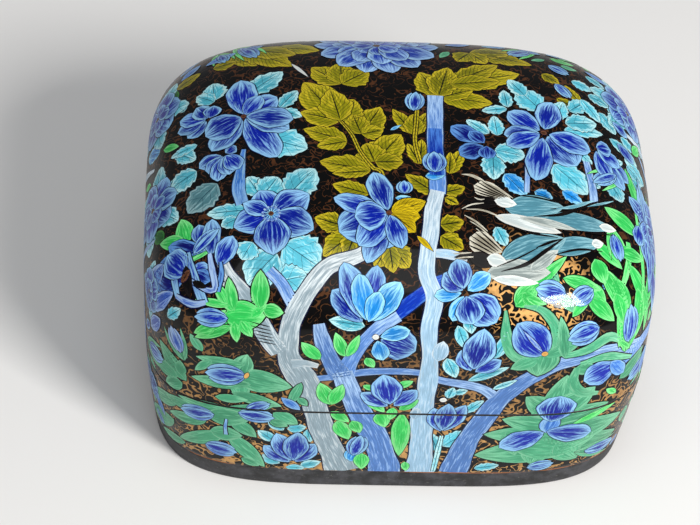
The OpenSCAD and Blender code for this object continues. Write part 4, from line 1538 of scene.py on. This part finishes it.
def paint_left(kit):
    """The left side, in the manner of the front."""
    paint_side(
        kit, "left",
        trunks=[
            (((-6, 6.5), (-9, 20), (-4, 32), (-8, 46), (-2, 60)), (7, 6, 5.4, 4.6, 3), PALE_BARK),
            (((28, 6.5), (24, 20), (27, 34), (20, 48), (22, 60)), (6, 5.2, 4.6, 3.8, 2.4), BLUE_BARK),
            (((-36, 6.5), (-32, 22), (-36, 36), (-28, 50)), (6, 5, 4, 2.6), WHITE_BARK),
            (((-8, 44), (4, 46), (14, 42), (26, 38)), (2.4, 2.2, 2), BLUE_BARK),
        ],
        flowers=[
            (-20, 60, 9, 6), (12, 60, 9.5, 7), (31, 52, 6, 5), (-20, 22, 8.5, 6, BLUE, SEA_GREEN),
            (10, 21, 8.5, 6, DEEP_BLUE, TURQUOISE), (33, 22, 6, 5, BLUE, SEA_GREEN), (-42, 48, 6.5, 5),
        ],
        buds=[
            (2, 34, 8, 35, 5), (-14, 38, -20, 42, 5.6), (34, 36, 41, 38, 5.4), (-44, 14, -42, 22, 5.6),
            (-38, 66, -32, 69, 4.6, GREEN), (32, 66, 27, 70, 4.6, GREEN), (-2, 12, 2, 9, 4.4),
            (34, 12, 38, 10, 4.6), (-48, 34, -44, 36, 4, GREEN),
        ],
        leaves=[
            (14, 50, 18, 46, 4, GREEN), (-28, 34, -24, 31, 4, GREEN), (-2, 66, 3, 69, 4, TURQUOISE),
            (30, 26, 34, 30, 4, SEA_GREEN), (-30, 10, -24, 9, 4, SEA_GREEN),
        ],
    )


def paint_back(kit):
    """The back side, in the manner of the front."""
    paint_side(
        kit, "back",
        trunks=[
            (((-34, 6.5), (-30, 20), (-33, 34), (-24, 46), (-20, 58)), (7, 6, 5.4, 4.4, 2.8), WHITE_BARK),
            (((10, 6.5), (6, 20), (8, 34), (2, 46), (4, 58)), (8, 6.4, 5.6, 5, 3.4), PALE_BARK),
            (((42, 6.5), (38, 20), (40, 32), (32, 44), (30, 56)), (7, 5.6, 5, 4, 2.6), BLUE_BARK),
            (((-26, 43), (-14, 42), (-4, 45), (4, 44)), (2.4, 2.2, 2.4), BLUE_BARK),
            (((6, 36), (16, 40), (26, 38), (38, 34)), (2.6, 2.4, 2.4), BLUE_BARK),
        ],
        flowers=[
            (-40, 56, 9.5, 7), (-9, 56, 8, 6), (20, 58, 10, 7), (47, 52, 8, 6),
            (-46, 24, 8.5, 6, BLUE, SEA_GREEN), (-14, 22, 9.5, 7, DEEP_BLUE, TURQUOISE),
            (24, 22, 9, 6, BLUE, SEA_GREEN), (52, 22, 7, 5),
        ],
        buds=[
            (-20, 34, -13, 36, 5.6), (16, 46, 12, 52, 4.6), (-44, 42, -51, 40, 5.6),
            (-34, 68, -28, 71, 5, GREEN), (6, 68, 1, 71, 4.6, GREEN), (40, 66, 36, 71, 5, GREEN),
            (-30, 10, -24, 9, 4.6), (-2, 11, -3, 18, 5), (34, 12, 30, 9, 4.4), (28, 30, 34, 27, 4.6),
            (-56, 34, -57, 42, 5), (56, 36, 55, 44, 5, GREEN),
        ],
        leaves=[
            (-30, 52, -26, 48, 4, GREEN), (12, 30, 17, 33, 4.4, GREEN), (-6, 34, -2, 38, 3.6, GREEN),
            (34, 50, 38, 46, 4, TURQUOISE), (-40, 12, -46, 11, 4, SEA_GREEN),
            (44, 40, 48, 42, 3.6, SEA_GREEN),
        ],
    )


def paint_ornament(areas):
    """All the ornament, from the areas that the photograph shows to the sides that it doesn't."""
    dome, front, sides = areas
    paint_dome_left(dome)
    paint_dome_middle(dome)
    paint_dome_right(dome)
    paint_birds(dome)
    paint_trunks(front)
    paint_front_left(front)
    paint_front_middle(front)
    paint_front_right(front)
    paint_right(sides)
    paint_left(sides)
    paint_back(sides)
    painted = painted_places(areas)
    for side, half_width in (("right", 47), ("left", 47), ("back", 58)):
        fill_bare_ground(sides, side, half_width, painted, tries=900)


# Each kind of art's paint: its name, outline, feather, streak, outline's width, and veins if it has them.
DARK_LINE = tint(10, 20, 10)
PAINTS = {
    "petals": ("petal_paint", tint(4, 14, 60), 1.6, 1.2, 0.34),
    "leaves": ("toothed_leaf_paint", tint(8, 52, 70), 1.2, 1.0, 0.26, (1.3, 0.9, 0.07)),
    "olive": ("olive_leaf_paint", DARK_LINE, 1.4, 1.0, 0.3, (0.65, 1.5, 0.12)),
    "greens": ("green_leaf_paint", DARK_LINE, 1.3, 1.2, 0.26),
    "bark": ("bark_paint", tint(16, 26, 60), 1.0, 0.9, 0.28),
    "ink": ("fine_line_paint", tint(10, 8, 8), 0.9, 0.9, 0.05),
}


# Scene

def outward(azimuth, elevation):
    """A direction away from the box, in degrees; azimuth 0 is in front and 90 is on the right."""
    a, e = math.radians(azimuth), math.radians(elevation)
    return Vector((math.sin(a) * math.cos(e), -math.cos(a) * math.cos(e), math.sin(e)))


def make_camera():
    """The photograph's view of the box, from a camera fitted to its outline."""
    azimuth, elevation, roll = -4.504, 46.749, math.radians(4.429)
    target = Vector((-10.98, -0.59, 30.9)) * MM
    distance = 716.8 * MM
    focal_pixels, frame_width, sensor = 2800, 700, 36
    back = outward(azimuth, elevation)
    right = outward(azimuth + 90, 0)
    up = back.cross(right)
    right, up = right * math.cos(roll) + up * math.sin(roll), up * math.cos(roll) - right * math.sin(roll)
    data = bpy.data.cameras.new("camera")
    data.lens = focal_pixels / frame_width * sensor
    data.sensor_width = sensor
    data.clip_start = 0.01
    camera = bpy.data.objects.new("camera", data)
    turn = Matrix((right, up, back)).transposed().to_4x4()
    camera.matrix_world = Matrix.Translation(target + back * distance) @ turn
    bpy.context.scene.collection.objects.link(camera)
    bpy.context.scene.camera = camera


def soft_light(name, azimuth, elevation, distance, size, power, colour=(1, 1, 1)):
    """A square soft light that looks at the box; its distance and size are in metres."""
    way = outward(azimuth, elevation)
    data = bpy.data.lights.new(name, "AREA")
    data.size = size
    data.energy = power
    data.color = colour
    light = bpy.data.objects.new(name, data)
    light.location = way * distance
    light.rotation_euler = way.to_track_quat("Z", "Y").to_euler()
    bpy.context.scene.collection.objects.link(light)


def make_floor():
    """A pale floor, in the place of the photograph's cloth."""
    bm = bmesh.new()
    bmesh.ops.create_grid(bm, x_segments=1, y_segments=1, size=3.0)
    mesh = bpy.data.meshes.new("floor")
    bm.to_mesh(mesh)
    bm.free()
    material, _, shader = new_material("pale_floor")
    shader.inputs["Base Color"].default_value = (0.80, 0.79, 0.775, 1)
    shader.inputs["Roughness"].default_value = 0.9
    mesh.materials.append(material)
    floor = bpy.data.objects.new("floor", mesh)
    bpy.context.scene.collection.objects.link(floor)


def make_world():
    """The room's even light."""
    world = bpy.data.worlds.new("studio")
    world.use_nodes = True
    background = world.node_tree.nodes["Background"]
    background.inputs[0].default_value = (0.92, 0.95, 1.0, 1)
    background.inputs[1].default_value = 0.26
    bpy.context.scene.world = world


def main():
    """The room, its light, the box's own pieces and their ornament."""
    scene = bpy.context.scene
    scene.view_settings.view_transform = "Standard"
    make_camera()
    make_world()
    make_floor()
    warm = (1.0, 0.985, 0.96)
    soft_light("window_light", azimuth=40, elevation=41, distance=0.95, size=0.23, power=8.4, colour=warm)
    soft_light("fill_light", azimuth=-25, elevation=74, distance=1.4, size=1.0, power=5.6)
    feathering = build_feathering()
    ground = ground_material("scribbled_ground", build_scribble())
    inside = plain_black("inside_black", tint(16, 15, 15), tint(34, 32, 31))
    seam = plain_black("seam_black", tint(8, 7, 7), tint(20, 18, 17))
    make_lid([ground, inside, seam])
    make_base_wall([ground, inside, seam])
    make_foot_board([foot_material(), inside])
    make_lip([plain_black("card_black", tint(14, 14, 14), tint(30, 29, 28))])
    areas = [Kit(area) for area in ("dome", "front", "sides")]
    paint_ornament(areas)
    materials = {kind: brushed_material(name, feathering, *look) for kind, (name, *look) in PAINTS.items()}
    for kit in areas:
        for kind, material in materials.items():
            finish_art(getattr(kit, kind), material)


main()
